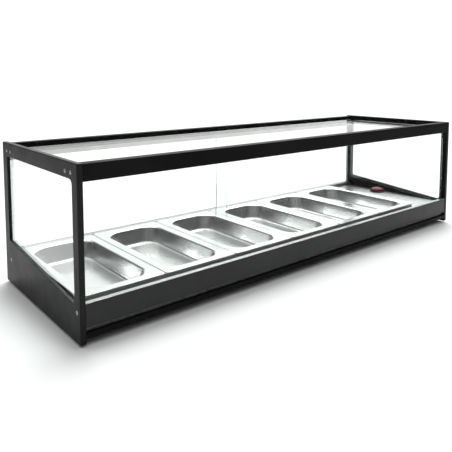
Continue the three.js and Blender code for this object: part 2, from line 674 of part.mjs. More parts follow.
function lightSwitchHousing() {
  const deck = DECK_TOP + GAP;
  const ring = SWITCH_BUTTON + 2.5;
  const body = SWITCH_HOLE - 1;
  return turned([
    [7, 46], [body, 46], [body, deck], [ring, deck], [ring, deck + 1.6], [ring - 0.8, deck + 2.4],
    [ring - 1.8, deck + 2.4], [ring - 1.8, deck + 0.8], [7, deck + 0.8], [7, 46],
  ]).translate(...LIGHT_SWITCH, 0);
}

function lightSwitchButton() {
  const radius = SWITCH_BUTTON;
  const skirt = DECK_TOP + 3.9;
  return turned([
    [0, 52], [6.4, 52], [6.4, skirt], [radius, skirt], [radius, skirt + 1.5],
    [radius - 1.6, skirt + 4.7], [radius - 5.8, skirt + 7.6], [radius - 12.8, skirt + 9.6],
    [0, skirt + 10.2],
  ]).translate(...LIGHT_SWITCH, 0);
}

// ---------------------------------------------------------------- lighting and wiring pieces

const LED = { front: -168.6, back: -157.4, end: 560, top: GLASS_BED - LEDGE - GAP };

function ledProfile() {
  const { front: y0, back: y1, end, top } = LED;
  return alongX(outline([
    [y0, top - 7], [y0 + 1.2, top - 7], [y0 + 1.2, top - 1.5], [y1 - 1.2, top - 1.5],
    [y1 - 1.2, top - 7], [y1, top - 7], [y1, top], [y0, top],
  ]), -end, end);
}

function ledDiffuser() {
  const { front, back, end, top } = LED;
  return box(1 - end, end - 1, front + 1.5, back - 1.5, top - 6.6, top - 4.4);
}

const DRIVER = { left: 482, right: 592, front: -150, back: -112, bottom: 15, top: 37 };

function ledDriver() {
  const { left, right, front, back, bottom, top } = DRIVER;
  const body = box(left, right, front, back, bottom, top);
  const ribs = [left + 10, (left + right) / 2 - 2, right - 14].map((x) =>
    box(x, x + 4, front + 2, back - 2, top - 1, top + 1.5));
  return joined(body, ...ribs);
}

const TERMINALS = { left: 520, front: -60, bottom: 15, depth: 24, height: 18, count: 5, pitch: 11 };

function terminalBlock() {
  const { left, front, bottom, depth, height, count, pitch } = TERMINALS;
  const top = bottom + height;
  const body = box(left, left + count * pitch + 5, front, front + depth, bottom, top);
  const wells = Array.from({ length: count }, (_, i) =>
    rod('Z', 2.6, top - 9, top + 7, [left + 8 + i * pitch, front + depth / 2], 8));
  return cut(body, ...wells);
}

// ---------------------------------------------------------------- assembly

addEndFrames();
add('front_top_rail', frontTopRail(), blackPaint);
add('rear_top_rail', rearTopRail(), blackPaint);
add('top_glass', topGlass(), glass);
add('front_fascia', frontFascia(), blackPaint);
add('front_lower_rail', frontLowerRail(), blackPaint);
add('front_glass_channel', frontGlassChannel(), stainless);
add('front_glass_gasket', frontGlassGasket(), rubber);
add('front_glass', frontGlass(), glass);
add('base_tray', baseTray(), galvanised);
add('deck_panel', deckPanel(), stainless);
add('well_tray', wellTray(), stainless);
add('insulation_board', insulationBoard(), insulationWool);
add('heating_element_front', heatingElement(HEATER.rows[0]), stainless);
add('heating_element_rear', heatingElement(HEATER.rows[1]), stainless);
addFeet();
addPans();
addDoors();
add('rear_panel', rearPanel(), blackPaint);
add('thermostat_body', thermostatBody(), whitePlastic);
add('thermostat_knob', thermostatKnob(), blackPlastic);
add('thermostat_sensor', thermostatSensor(), stainless);
add('power_switch_housing', powerSwitchHousing(), blackPlastic);
add('power_rocker', powerRocker(), redPlastic);
add('pilot_lamp', pilotLamp(), redPlastic);
add('power_inlet', powerInlet(), blackPlastic);
add('light_switch_housing', lightSwitchHousing(), blackPlastic);
add('light_switch_button', lightSwitchButton(), redPlastic);
add('led_profile', ledProfile(), aluminium);
add('led_diffuser', ledDiffuser(), whitePlastic);
add('led_driver', ledDriver(), whitePlastic);
add('terminal_block', terminalBlock(), whitePlastic);

export default group;
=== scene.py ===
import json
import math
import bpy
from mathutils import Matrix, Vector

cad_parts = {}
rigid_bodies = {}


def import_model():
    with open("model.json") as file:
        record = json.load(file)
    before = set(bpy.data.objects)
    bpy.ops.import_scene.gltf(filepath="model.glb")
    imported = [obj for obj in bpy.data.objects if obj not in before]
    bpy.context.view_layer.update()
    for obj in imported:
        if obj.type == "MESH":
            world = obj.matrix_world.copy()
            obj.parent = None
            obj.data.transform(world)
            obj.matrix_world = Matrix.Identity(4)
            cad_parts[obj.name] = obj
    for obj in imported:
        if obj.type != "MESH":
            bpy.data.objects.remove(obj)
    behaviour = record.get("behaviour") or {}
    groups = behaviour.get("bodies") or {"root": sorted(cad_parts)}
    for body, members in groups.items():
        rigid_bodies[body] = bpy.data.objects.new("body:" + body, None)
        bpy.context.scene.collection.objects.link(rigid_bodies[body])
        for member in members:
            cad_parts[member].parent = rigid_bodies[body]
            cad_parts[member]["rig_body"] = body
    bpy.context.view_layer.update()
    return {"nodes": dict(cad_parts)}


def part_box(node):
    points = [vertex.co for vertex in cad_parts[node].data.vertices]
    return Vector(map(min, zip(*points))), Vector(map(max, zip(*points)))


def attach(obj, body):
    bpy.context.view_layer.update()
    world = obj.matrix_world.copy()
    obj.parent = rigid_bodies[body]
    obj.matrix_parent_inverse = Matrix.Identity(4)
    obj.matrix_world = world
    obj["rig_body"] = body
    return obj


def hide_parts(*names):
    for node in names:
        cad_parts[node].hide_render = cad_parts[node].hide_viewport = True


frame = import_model()

# Looks of the hot food display case. Sizes are in millimetres in the CAD frame: +X to the right along
# the case, -Y the customers' side, +Z up. They become metres where a mesh is made.

from types import SimpleNamespace

import bmesh
import bpy
from mathutils import Vector
from mathutils.geometry import tessellate_polygon

MM = 0.001


def cad(node):
    """The box of a CAD node in millimetres."""
    low, high = (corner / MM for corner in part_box(node))
    return SimpleNamespace(x0=low.x, y0=low.y, z0=low.z, x1=high.x, y1=high.y, z1=high.z)


def plan(box):
    """Middle of a box as (x, y)."""
    return (box.x0 + box.x1) / 2, (box.y0 + box.y1) / 2


def elevation(box):
    """Middle of a box as (x, z)."""
    return (box.x0 + box.x1) / 2, (box.z0 + box.z1) / 2


def end_on(box):
    """Middle of a box as (y, z)."""
    return (box.y0 + box.y1) / 2, (box.z0 + box.z1) / 2


# ---------------------------------------------------------------- camera

CAMERA_PLACE = (-0.9677, -1.0062, 0.4605)  # metres
CAMERA_TILT = 85.075  # degrees; 90 would look level
CAMERA_TURN = -39.71  # degrees from +Y
SENSOR = 36
LENS = 42.07
SHIFT = -0.2327  # lets the lens stay nearly level, so that the uprights stay upright


def add_camera():
    camera = bpy.data.objects.new("camera", bpy.data.cameras.new("camera"))
    bpy.context.scene.collection.objects.link(camera)
    camera.location = CAMERA_PLACE
    camera.rotation_euler = (math.radians(CAMERA_TILT), 0, math.radians(CAMERA_TURN))
    camera.data.sensor_width = SENSOR
    camera.data.lens = LENS
    camera.data.shift_y = SHIFT
    bpy.context.scene.camera = camera


# ---------------------------------------------------------------- materials

def add_node(mat, kind, **inputs):
    """A shader node with these input values."""
    node = mat.node_tree.nodes.new("ShaderNode" + kind)
    for name, value in inputs.items():
        node.inputs[name].default_value = value
    return node


def link(mat, output, socket):
    mat.node_tree.links.new(output, socket)


def principled(mat):
    return mat.node_tree.nodes["Principled BSDF"]


def base_material(name, color, roughness, metallic=0.0, **inputs):
    """Principled material; in the names of further inputs, _ stands for a space."""
    mat = bpy.data.materials.new(name)
    mat.use_nodes = True
    shader = principled(mat)
    shader.inputs["Base Color"].default_value = (*color, 1)
    shader.inputs["Roughness"].default_value = roughness
    shader.inputs["Metallic"].default_value = metallic
    for key, value in inputs.items():
        shader.inputs[key.replace("_", " ")].default_value = value
    return mat


def noise(mat, scale, stretch=(1, 1, 1), detail=2.0):
    """Noise with about scale grains per metre, drawn out along the axes where stretch is small."""
    coordinates = add_node(mat, "TexCoord")
    mapping = add_node(mat, "Mapping", Scale=stretch)
    texture = add_node(mat, "TexNoise", Scale=scale, Detail=detail)
    link(mat, coordinates.outputs["Object"], mapping.inputs["Vector"])
    link(mat, mapping.outputs["Vector"], texture.inputs["Vector"])
    return texture.outputs["Fac"]


def vary(mat, fac, socket, low, high, start=0.3, end=0.7):
    """Drives a number of the shader from low to high by a noise."""
    scaled = add_node(mat, "MapRange")
    for name, value in (("From Min", start), ("From Max", end), ("To Min", low), ("To Max", high)):
        scaled.inputs[name].default_value = value
    link(mat, fac, scaled.inputs["Value"])
    link(mat, scaled.outputs["Result"], principled(mat).inputs[socket])


def tint(mat, fac, first, second, start=0.35, end=0.65):
    """Drives the colour from first to second by a noise."""
    ramp = add_node(mat, "ValToRGB")
    ramp.color_ramp.elements[0].position = start
    ramp.color_ramp.elements[1].position = end
    ramp.color_ramp.elements[0].color = (*first, 1)
    ramp.color_ramp.elements[1].color = (*second, 1)
    link(mat, fac, ramp.inputs["Fac"])
    link(mat, ramp.outputs["Color"], principled(mat).inputs["Base Color"])


def bump(mat, fac, height):
    """Relief of a noise, height in millimetres."""
    relief = add_node(mat, "Bump", Strength=1.0, Distance=height * MM)
    link(mat, fac, relief.inputs["Height"])
    link(mat, relief.outputs["Normal"], principled(mat).inputs["Normal"])


def grey(level, warmth=0.0):
    """Near-neutral colour; a positive warmth adds red and takes blue away."""
    return (level * (1 + warmth), level, level * (1 - warmth))


def powder_coat(name, level, roughness, specular):
    """Satin black powder coat: orange peel, and a faint cloudiness from handling."""
    mat = base_material(name, grey(level), roughness, Specular_IOR_Level=specular)
    tint(mat, noise(mat, 9), grey(level * 0.8), grey(level * 1.25, -0.02))
    vary(mat, noise(mat, 35, detail=4), "Roughness", roughness - 0.03, roughness + 0.05)
    bump(mat, noise(mat, 700, detail=1), 0.012)
    return mat


def brushed_steel(name, level, roughness, stretch):
    """Stainless sheet with its grain along the axis where stretch is small."""
    mat = base_material(name, grey(level), roughness, 1.0)
    grain = noise(mat, 1500, stretch, detail=3)
    tint(mat, noise(mat, 6, detail=3), grey(level * 0.94), grey(level * 1.04, 0.006))
    vary(mat, grain, "Roughness", roughness - 0.07, roughness + 0.09)
    bump(mat, grain, 0.006)
    return mat


def pressed_steel(name, level, roughness):
    """Deep-drawn pan: satin, with faint clouds and fine scratches from use."""
    mat = base_material(name, grey(level), roughness, 1.0)
    tint(mat, noise(mat, 14, detail=4), grey(level * 0.97), grey(level * 1.02, 0.003))
    vary(mat, noise(mat, 60, (1, 0.35, 1), detail=5), "Roughness", roughness - 0.02, roughness + 0.04)
    bump(mat, noise(mat, 1200, (1, 0.06, 0.06), detail=2), 0.002)
    return mat


def anodised(name, level):
    """Anodised aluminium section, drawn along X."""
    mat = base_material(name, grey(level), 0.38, 1.0)
    grain = noise(mat, 900, (0.02, 1, 1), detail=3)
    vary(mat, grain, "Roughness", 0.32, 0.46)
    tint(mat, noise(mat, 12, (0.1, 1, 1)), grey(level * 0.93), grey(level * 1.05))
    bump(mat, grain, 0.004)
    return mat


def galvanised(name):
    """Dull hot-dip zinc with its spangle. Its colour is painted far darker than bare zinc as painted shade,
    so that the groove between the fascia and the lower rail, where the tray shows through, reads dark.
    """
    mat = base_material(name, grey(0.09), 0.5, 0.85)
    coordinates = add_node(mat, "TexCoord")
    cells = add_node(mat, "TexVoronoi", Scale=90, Randomness=1.0)
    link(mat, coordinates.outputs["Object"], cells.inputs["Vector"])
    tint(mat, cells.outputs["Color"], grey(0.07), grey(0.12), 0.2, 0.8)
    vary(mat, cells.outputs["Color"], "Roughness", 0.38, 0.6, 0.0, 1.0)
    bump(mat, noise(mat, 300), 0.01)
    return mat


def moulded(name, color, roughness, grain=0.02, **inputs):
    """Injection-moulded plastic or rubber with a fine eroded texture."""
    mat = base_material(name, color, roughness, **inputs)
    tint(mat, noise(mat, 20), [c * 0.85 for c in color], [min(1, c * 1.12) for c in color])
    vary(mat, noise(mat, 120, detail=3), "Roughness", roughness - 0.04, roughness + 0.07)
    bump(mat, noise(mat, 1800, detail=1), grain)
    return mat


def mineral_wool(name):
    """Pressed fibre board."""
    mat = base_material(name, (0.62, 0.53, 0.33), 0.95, Sheen_Weight=0.25)
    fibre = noise(mat, 900, (0.25, 1, 1), detail=6)
    tint(mat, fibre, (0.45, 0.37, 0.2), (0.74, 0.66, 0.45))
    bump(mat, fibre, 0.5)
    return mat


def clear(name, color, ior):
    """Glass or acrylic. Shadow rays and bounced light pass straight through it."""
    mat = base_material(name, color, 0.0, Transmission_Weight=1.0, IOR=ior)
    rays = add_node(mat, "LightPath")
    either = add_node(mat, "Math")
    either.operation = "MAXIMUM"
    link(mat, rays.outputs["Is Shadow Ray"], either.inputs[0])
    link(mat, rays.outputs["Is Reflection Ray"], either.inputs[1])
    straight = add_node(mat, "BsdfTransparent", Color=(*color, 1))
    mix = add_node(mat, "MixShader")
    link(mat, either.outputs["Value"], mix.inputs["Fac"])
    link(mat, principled(mat).outputs["BSDF"], mix.inputs[1])
    link(mat, straight.outputs["BSDF"], mix.inputs[2])
    output = mat.node_tree.nodes["Material Output"]
    link(mat, mix.outputs["Shader"], output.inputs["Surface"])
    return mat


def glass_edge(name):
    """Ground edge of a float glass pane: pale green, satin and mostly clear."""
    mat = base_material(name, (0.72, 0.85, 0.8), 0.25, Transmission_Weight=0.7, IOR=1.5)
    tint(mat, noise(mat, 60, (0.1, 0.1, 1)), (0.68, 0.82, 0.77), (0.77, 0.89, 0.84))
    bump(mat, noise(mat, 1500), 0.01)
    return mat


ALONG_X = (0.012, 1, 1)
BLACK = powder_coat("black_paint", 0.006, 0.38, 0.11)
BLACK_EDGE = powder_coat("black_paint_edge", 0.007, 0.34, 0.16)
BLACK_SHEET = powder_coat("black_paint_sheet", 0.007, 0.38, 0.36)
BLACK_RAIL = powder_coat("black_paint_rail", 0.008, 0.42, 0.05)
STEEL = brushed_steel("stainless", 0.5, 0.3, ALONG_X)
FLANGE_STEEL = brushed_steel("stainless_flange", 0.42, 0.26, ALONG_X)
PAN_STEEL = pressed_steel("pan_steel", 0.8, 0.2)
ALUMINIUM = anodised("aluminium", 0.6)
# zinc darkened as painted shade, for the groove where the base tray shows under the fascia
GALVANISED_PAINTED_SHADE = galvanised("galvanised")
GLASS = clear("clear_glass", (0.972, 1.0, 0.988), 1.5)
COATED_GLASS = clear("clear_glass_coated", (0.99, 1.0, 0.996), 1.06)  # coated against glare
GLASS_EDGE = glass_edge("glass_edge")
ACRYLIC = clear("clear_acrylic", (0.99, 1.0, 1.0), 1.2)
RUBBER = moulded("rubber", (0.012, 0.012, 0.012), 0.75, 0.05)
SILICONE = moulded("silicone", (0.42, 0.42, 0.42), 0.5, 0.01)
BLACK_PLASTIC = moulded("black_plastic", (0.014, 0.014, 0.015), 0.42)
RED_PLASTIC = moulded("red_plastic", (0.12, 0.008, 0.016), 0.42, 0.004, Specular_IOR_Level=0.2)
WHITE_PLASTIC = moulded("white_plastic", (0.78, 0.78, 0.74), 0.45)
WOOL = mineral_wool("mineral_wool")
ZINC = brushed_steel("zinc", 0.6, 0.34, (1, 1, 1))


# ---------------------------------------------------------------- outlines

def rounded(corners, closed=True, steps=5):
    """Points through (a, b, radius) corners, each round as steps + 1 points."""
    points = []
    count = len(corners)
    for i, (a, b, radius) in enumerate(corners):
        here = Vector((a, b))
        inner = closed or 0 < i < count - 1
        if radius == 0 or not inner:
            points.append(here)
            continue
        back = (Vector(corners[i - 1][:2]) - here).normalized()
        ahead = (Vector(corners[(i + 1) % count][:2]) - here).normalized()
        half = back.angle(ahead) / 2
        centre = here + (back + ahead).normalized() * (radius / math.sin(half))
        spoke = here + back * (radius / math.tan(half)) - centre
        sweep = (math.pi - 2 * half) * (1 if back.x * ahead.y < back.y * ahead.x else -1)
        for step in range(steps + 1):
            turn = sweep * step / steps
            cos, sin = math.cos(turn), math.sin(turn)
            points.append(centre + Vector((spoke.x * cos - spoke.y * sin, spoke.x * sin + spoke.y * cos)))
    return points


def grown(corners, by):
    """The corners of the same anticlockwise outline with each edge moved outwards."""
    moved = []
    for i, (a, b, radius) in enumerate(corners):
        here = Vector((a, b))
        arrive = (here - Vector(corners[i - 1][:2])).normalized()
        leave = (Vector(corners[(i + 1) % len(corners)][:2]) - here).normalized()
        out_before, out_after = Vector((arrive.y, -arrive.x)), Vector((leave.y, -leave.x))
        shift = (out_before + out_after) / (1 + out_before.dot(out_after)) * by
        convex = arrive.x * leave.y > arrive.y * leave.x
        wider = radius + (by if convex else -by)
        moved.append((a + shift.x, b + shift.y, max(wider, 0.05) if radius else 0))
    return moved


def rectangle(a0, a1, b0, b1, radius):
    return [(a0, b0, radius), (a1, b0, radius), (a1, b1, radius), (a0, b1, radius)]


def circle(a, b, radius, points=32):
    return [Vector((a + radius * math.cos(t), b + radius * math.sin(t)))
            for t in (2 * math.pi * i / points for i in range(points))]


def hexagon(a, b, across, points=48):
    """A hexagon with as many points as a circle, so that the two can be joined by a wall."""
    loop = []
    for i in range(points):
        turn = 2 * math.pi * i / points
        reach = across / 2 / math.cos(turn % (math.pi / 3) - math.pi / 6)
        loop.append(Vector((a + reach * math.cos(turn), b + reach * math.sin(turn))))
    return loop


# ---------------------------------------------------------------- solids

AXES = {"X": lambda a, b, c: (c, a, b), "Y": lambda a, b, c: (a, c, b), "Z": lambda a, b, c: (a, b, c)}


def wall(corners, c0, c1, edge=0.0, hole=False, steps=3):
    """Rings of a straight wall from c0 to c1 whose two edges are rounded by edge."""
    if edge == 0:
        return [(rounded(corners), c0), (rounded(corners), c1)]
    turns = [math.pi / 2 * k / steps for k in range(steps + 1)]
    sign = 1 if hole else -1
    ends = [(edge * (1 - math.sin(t)), edge * (1 - math.cos(t))) for t in turns]
    loops = [(rounded(grown(corners, sign * inset)), depth) for inset, depth in ends]
    return [(loop, c0 + depth) for loop, depth in loops] + \
        [(loop, c1 - depth) for loop, depth in reversed(loops)]


def add_shell(bm, families, axis):
    """Closed shell: each family is a wall through its rings, and flat ends close the first and last
    rings. The first family is the outside and the others are holes."""
    place = AXES[axis]
    lines = [[[bm.verts.new(place(p.x, p.y, c)) for p in loop] for loop, c in rings] for rings in families]
    for rings in lines:
        for lower, upper in zip(rings, rings[1:]):
            for i in range(len(lower)):
                bm.faces.new((lower[i - 1], lower[i], upper[i], upper[i - 1]))
    for end in (0, -1):
        verts = [v for rings in lines for v in rings[end]]
        if len(families) == 1:
            bm.faces.new(verts)
            continue
        flat = [[p.to_3d() for p in rings[end][0]] for rings in families]
        for triangle in tessellate_polygon(flat):
            bm.faces.new([verts[i] for i in triangle])


def add_turned(bm, profile, axis, centre, closed=False, steps=48):
    """Shell of (radius, height) points turned about an axis through centre."""
    place = AXES[axis]
    centre = Vector(centre)

    def ring(radius, height):
        if radius < 1e-6:
            return [bm.verts.new(Vector(place(0, 0, height)) + centre)] * steps
        return [bm.verts.new(Vector(place(p.x, p.y, height)) + centre) for p in circle(0, 0, radius, steps)]

    rings = [ring(*point) for point in profile]
    pairs = list(zip(rings, rings[1:])) + ([(rings[-1], rings[0])] if closed else [])
    for lower, upper in pairs:
        for i in range(steps):
            corners = dict.fromkeys((lower[i - 1], lower[i], upper[i], upper[i - 1]))
            bm.faces.new(list(corners))


SHARP = 40  # degrees; edges with a larger turn are shaded as edges


def make(name, bm, *materials, split=None):
    """Turns the shells into an object in metres. split(face) picks the material of a face."""
    bmesh.ops.recalc_face_normals(bm, faces=bm.faces)
    bm.normal_update()
    if split:
        for face in bm.faces:
            face.material_index = split(face)
    bmesh.ops.scale(bm, vec=(MM, MM, MM), verts=bm.verts)
    mesh = bpy.data.meshes.new(name)
    bm.to_mesh(mesh)
    bm.free()
    for mat in materials:
        mesh.materials.append(mat)
    mesh.shade_smooth()
    mesh.set_sharp_from_angle(angle=math.radians(SHARP))
    obj = bpy.data.objects.new(name, mesh)
    bpy.context.scene.collection.objects.link(obj)
    even = obj.modifiers.new("even_shading", "WEIGHTED_NORMAL")
    even.keep_sharp = True
    return obj


def stands_for(obj, slot, *nodes):
    """The piece takes the place of these CAD nodes and moves with their body."""
    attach(obj, frame["nodes"][nodes[0]]["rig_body"])
    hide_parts(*nodes)


def detail(obj, slot, body):
    """A piece that the CAD model has no node for."""
    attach(obj, body)


def flat_or_edge(axis):
    """0 for the two large faces across axis, 1 for the rest."""
    index = "XYZ".index(axis)
    return lambda face: 0 if abs(face.normal[index]) > 0.999 else 1


def solid(node, families, axis, slot, *materials, split=None):
    """One shell that stands for a CAD node."""
    bm = bmesh.new()
    add_shell(bm, families, axis)
    stands_for(make(node + "_finished", bm, *materials, split=split), slot, node)


def pane(node, corners, c0, c1, axis, face=GLASS, edge=GLASS_EDGE):
    """Glass with ground, softened edges."""
    solid(node, [wall(corners, c0, c1, 0.6)], axis, "clear_glass", face, edge, split=flat_or_edge(axis))


def section(node, corners, slot, mat):
    """A bar of constant section along X, as long as the node's box; the corners are in (y, z)."""
    box = cad(node)
    solid(node, [[(rounded(corners), box.x0), (rounded(corners), box.x1)]], "X", slot, mat)


# ---------------------------------------------------------------- end frames, side glass, screws

FRONT_POST = 22
BACK_POST = 27
SILL_FRONT = 66  # window sill over the lower edge of the plate, at the front and at the back
SILL_BACK = 97
HEAD = 29.6  # top of the plate to the top of the window
WINDOW_CORNER_FRONT = 10
WINDOW_CORNER_BACK = 5
WINDOW_EDGE = 0.8
PLATE_CORNER = 3
PLATE_EDGE = 1.6
REBATE = 8
GLASS_PLAY = 0.3
SCREW_HEAD = 3.6  # radii of a frame screw and its hole
SCREW_SHANK = 2.0
SCREW_HOLE = 2.4
COUNTERSINK = 2  # depth of the cone under the head
SCREW_CHAMFER = 0.6
SOCKET = 4.1  # hexagon socket, across the flats
SOCKET_DEPTH = 1.9


def window(plate):
    """The window's corners; its sill slopes down to the front."""
    sill_front, sill_back, head = plate.z0 + SILL_FRONT, plate.z0 + SILL_BACK, plate.z1 - HEAD
    front, back = plate.y0 + FRONT_POST, plate.y1 - BACK_POST
    return [(front, sill_front, WINDOW_CORNER_FRONT), (back, sill_back, WINDOW_CORNER_BACK),
            (back, head, WINDOW_CORNER_BACK), (front, head, WINDOW_CORNER_FRONT)]


def screw_nodes(side):
    return [n for n in frame["nodes"] if n.startswith(side + "_screw_")]


def faces_of(box, side):
    """Outer and inner x of a part of an end, and the sign of the way inwards."""
    return (box.x0, box.x1, 1) if side == "left" else (box.x1, box.x0, -1)


def end_frame(side):
    """Thick plate with a window. A rebate behind the window takes the side glass."""
    node = side + "_end_frame"
    plate = cad(node)
    glass = cad(side + "_side_glass")
    outer, inner, inward = faces_of(plate, side)
    thickness = plate.x1 - plate.x0

    def at(depth):
        return outer + inward * depth

    shelf = at(thickness - (glass.x1 - glass.x0) - GLASS_PLAY)
    outline = rectangle(plate.y0, plate.y1, plate.z0, plate.z1, PLATE_CORNER)
    border = [(loop, at(depth)) for loop, depth in wall(outline, 0, thickness, PLATE_EDGE, steps=4)]
    opening = window(plate)
    recess = rounded(grown(opening, REBATE))
    sight = [(rounded(grown(opening, WINDOW_EDGE * (1 - math.sin(t)))), at(WINDOW_EDGE * (1 - math.cos(t))))
             for t in (math.pi / 8 * k for k in range(5))]
    sight += [(rounded(opening), shelf), (recess, shelf), (recess, inner)]
    holes = []
    for screw in screw_nodes(side):
        y, z = end_on(cad(screw))
        holes.append([
            (circle(y, z, SCREW_HEAD + 0.5), at(0)), (circle(y, z, SCREW_HEAD + 0.4), at(0.2)),
            (circle(y, z, SCREW_HOLE), at(COUNTERSINK + 0.2)), (circle(y, z, SCREW_HOLE), inner)])
    solid(node, [border, sight, *holes], "X", "black_paint", BLACK, BLACK_EDGE, split=flat_or_edge("X"))
    pane(side + "_side_glass", grown(opening, REBATE - GLASS_PLAY), glass.x0, glass.x1, "X", edge=GLASS)


def frame_screw(side, node):
    """Countersunk screw with a hexagon socket; the head lies in the outer face."""
    place = cad(node)
    y, z = end_on(place)
    outer, _, inward = faces_of(place, side)
    length = place.x1 - place.x0

    def disc(radius, depth):
        return circle(y, z, radius, 48), outer + inward * depth

    def socket(across, depth):
        return hexagon(y, z, across), outer + inward * depth

    solid(node, [[
        disc(SCREW_SHANK - SCREW_CHAMFER, length), disc(SCREW_SHANK, length - SCREW_CHAMFER),
        disc(SCREW_SHANK, COUNTERSINK), disc(SCREW_HEAD, 0.3), disc(SCREW_HEAD - 0.15, 0.05),
        disc(SCREW_HEAD - 0.4, 0), socket(SOCKET + 0.2, 0), socket(SOCKET, 0.15),
        socket(SOCKET, SOCKET_DEPTH)]], "X", "zinc", ZINC)


def end_frames():
    for side in ("left", "right"):
        end_frame(side)
        for node in screw_nodes(side):
            frame_screw(side, node)


# ---------------------------------------------------------------- top rails and top glass

RAIL_WALL = 2
LEDGE = 3  # thickness of the ledges that the top glass lies on
FRONT_LEDGE = 11.5  # how far they reach from the rails
REAR_LEDGE = 13
FRONT_RAIL_DEPTH = 22
REAR_RAIL_DEPTH = 20.5
FRONT_SLOT_PLAY = 0.4
CLEAT = 4
CLEAT_RISE = 8  # a cleat ends this far over its screws
CLEAT_PLAY = 0.02  # a cleat stays this far off its rail
CLEAT_MARGIN = 5  # a screw nearer to a cleat's edge than this has no bored hole and cuts its own


def cleats(bm, rail, y0, y1, z0, screws):
    """Plates at both ends of a rail that the frame screws bite into."""
    outline = rectangle(y0, y1, z0, screws[0][1] + CLEAT_RISE, 1)
    for x0, x1 in ((rail.x0, rail.x0 + CLEAT), (rail.x1 - CLEAT, rail.x1)):
        holes = [[(circle(y, z, SCREW_HOLE, 24), x0), (circle(y, z, SCREW_HOLE, 24), x1)]
                 for y, z in screws if y0 + CLEAT_MARGIN < y < y1 - CLEAT_MARGIN]
        add_shell(bm, [wall(outline, x0, x1, 0.4), *holes], "X")


def rail(node, corners, hollow, y0, y1, screws):
    """Hollow rail along X with a cleat from y0 to y1 at both ends."""
    box = cad(node)
    bm = bmesh.new()
    add_shell(bm, [[(rounded(o), box.x0), (rounded(o), box.x1)] for o in (corners, hollow)], "X")
    cleats(bm, box, y0, y1, glass_bed() + 0.05, [end_on(cad("left_screw_" + label)) for label in screws])
    obj = make(node + "_finished", bm, BLACK_RAIL)
    stands_for(obj, "black_paint", node)
    return obj


def glass_bed():
    """Height of the ledges' upper faces."""
    return cad("top_glass").z0 - GLASS_PLAY


def front_top_rail():
    """Rail with a slot for the front glass in its lower face and a ledge at its back."""
    box, glass = cad("front_top_rail"), cad("front_glass")
    bed, back = glass_bed(), box.y0 + FRONT_RAIL_DEPTH
    slot_top = bed - LEDGE
    slot = (glass.y0 - FRONT_SLOT_PLAY, glass.y1 + FRONT_SLOT_PLAY)
    outline = [
        (box.y0, box.z0, 1.2), (slot[0], box.z0, 0.4), (slot[0], slot_top, 0), (slot[1], slot_top, 0),
        (slot[1], box.z0, 0), (back, box.z0, 0.4), (back, slot_top, 0.6),
        (back + FRONT_LEDGE, slot_top, 0.4), (back + FRONT_LEDGE, bed, 0.8), (back, bed, 0),
        (back, box.z1, 1.2), (box.y0, box.z1, 1.8)]
    front, lower = box.y0 + RAIL_WALL, box.z0 + RAIL_WALL
    hollow = [
        (front, lower, 0.5), (slot[0] - RAIL_WALL, lower, 0.5),
        (slot[0] - RAIL_WALL, slot_top + RAIL_WALL, 0.5), (back - RAIL_WALL, slot_top + RAIL_WALL, 0.5),
        (back - RAIL_WALL, box.z1 - RAIL_WALL, 0.5), (front, box.z1 - RAIL_WALL, 0.5)]
    rail("front_top_rail", outline, hollow, back + CLEAT_PLAY, box.y1, ("top_1", "top_2"))


def rear_top_rail():
    box, bed = cad("rear_top_rail"), glass_bed()
    front = box.y1 - REAR_RAIL_DEPTH
    tip = front - REAR_LEDGE
    outline = [
        (front, box.z0, 0.6), (box.y1, box.z0, 1.2), (box.y1, box.z1, 1.8), (front, box.z1, 1.2),
        (front, bed, 0), (tip, bed, 0.8), (tip, bed - LEDGE, 0.4), (front, bed - LEDGE, 0)]
    hollow = rectangle(front + RAIL_WALL, box.y1 - RAIL_WALL, box.z0 + RAIL_WALL, box.z1 - RAIL_WALL, 0.5)
    rear = rail("rear_top_rail", outline, hollow, box.y0, front - CLEAT_PLAY, ("top_3", "top_4"))
    rear.visible_glossy = False  # the top glass reflects the room over the rail, not its black face


def top_glass():
    glass = cad("top_glass")
    pane("top_glass", rectangle(glass.x0, glass.x1, glass.y0, glass.y1, 1), glass.z0, glass.z1, "Z",
         face=COATED_GLASS)


# ---------------------------------------------------------------- front: fascia, channel, glass

SHEET = 1.2  # stainless sheet
PAINTED_SHEET = 1.5
FOLD = 1.3  # outer radius of a fold in the painted sheet
INNER_FOLD = 0.5
CUT_EDGE = 0.3
FASCIA_RETURN = 5.5  # width of the fascia's lower fold
GASKET_SOLE = 1.5


def folded_panel(node, lower_return, mat):
    """Painted sheet folded back: at the top to the box's rear, at the bottom to lower_return."""
    box, t = cad(node), PAINTED_SHEET
    back = box.y0 + t
    section(node, [
        (box.y0, box.z0, FOLD), (lower_return, box.z0, CUT_EDGE), (lower_return, box.z0 + t, CUT_EDGE),
        (back, box.z0 + t, INNER_FOLD), (back, box.z1 - t, INNER_FOLD), (box.y1, box.z1 - t, CUT_EDGE),
        (box.y1, box.z1, CUT_EDGE), (box.y0, box.z1, FOLD)], "black_paint", mat)


def front_channel():
    """Bright flange in front of the front glass, folded down and back under its foot."""
    box = cad("front_glass_channel")
    fold = cad("front_glass").y0 - 0.6
    front = fold - SHEET
    section("front_glass_channel", [
        (box.y0, box.z1 - 1, 0.2), (front, box.z1 - 1, 0.2), (front, box.z0, 1.2),
        (box.y1, box.z0, 0.3), (box.y1, box.z0 + SHEET, 0.3), (fold, box.z0 + SHEET, 0.4),
        (fold, box.z1, 0.9), (box.y0, box.z1, 0.4)], "stainless", FLANGE_STEEL)


def front_gasket():
    """Grey silicone angle under the front glass, with a lip behind it."""
    box = cad("front_glass_gasket")
    sole, lip = box.z0 + GASKET_SOLE, cad("front_glass").y1 + GLASS_PLAY
    section("front_glass_gasket", [
        (box.y0, box.z0, 0.4), (box.y1, box.z0, 0.4), (box.y1, box.z1, 0.45), (lip, box.z1, 0.45),
        (lip, sole, 0.3), (box.y0, sole, 0.4)], "rubber", SILICONE)


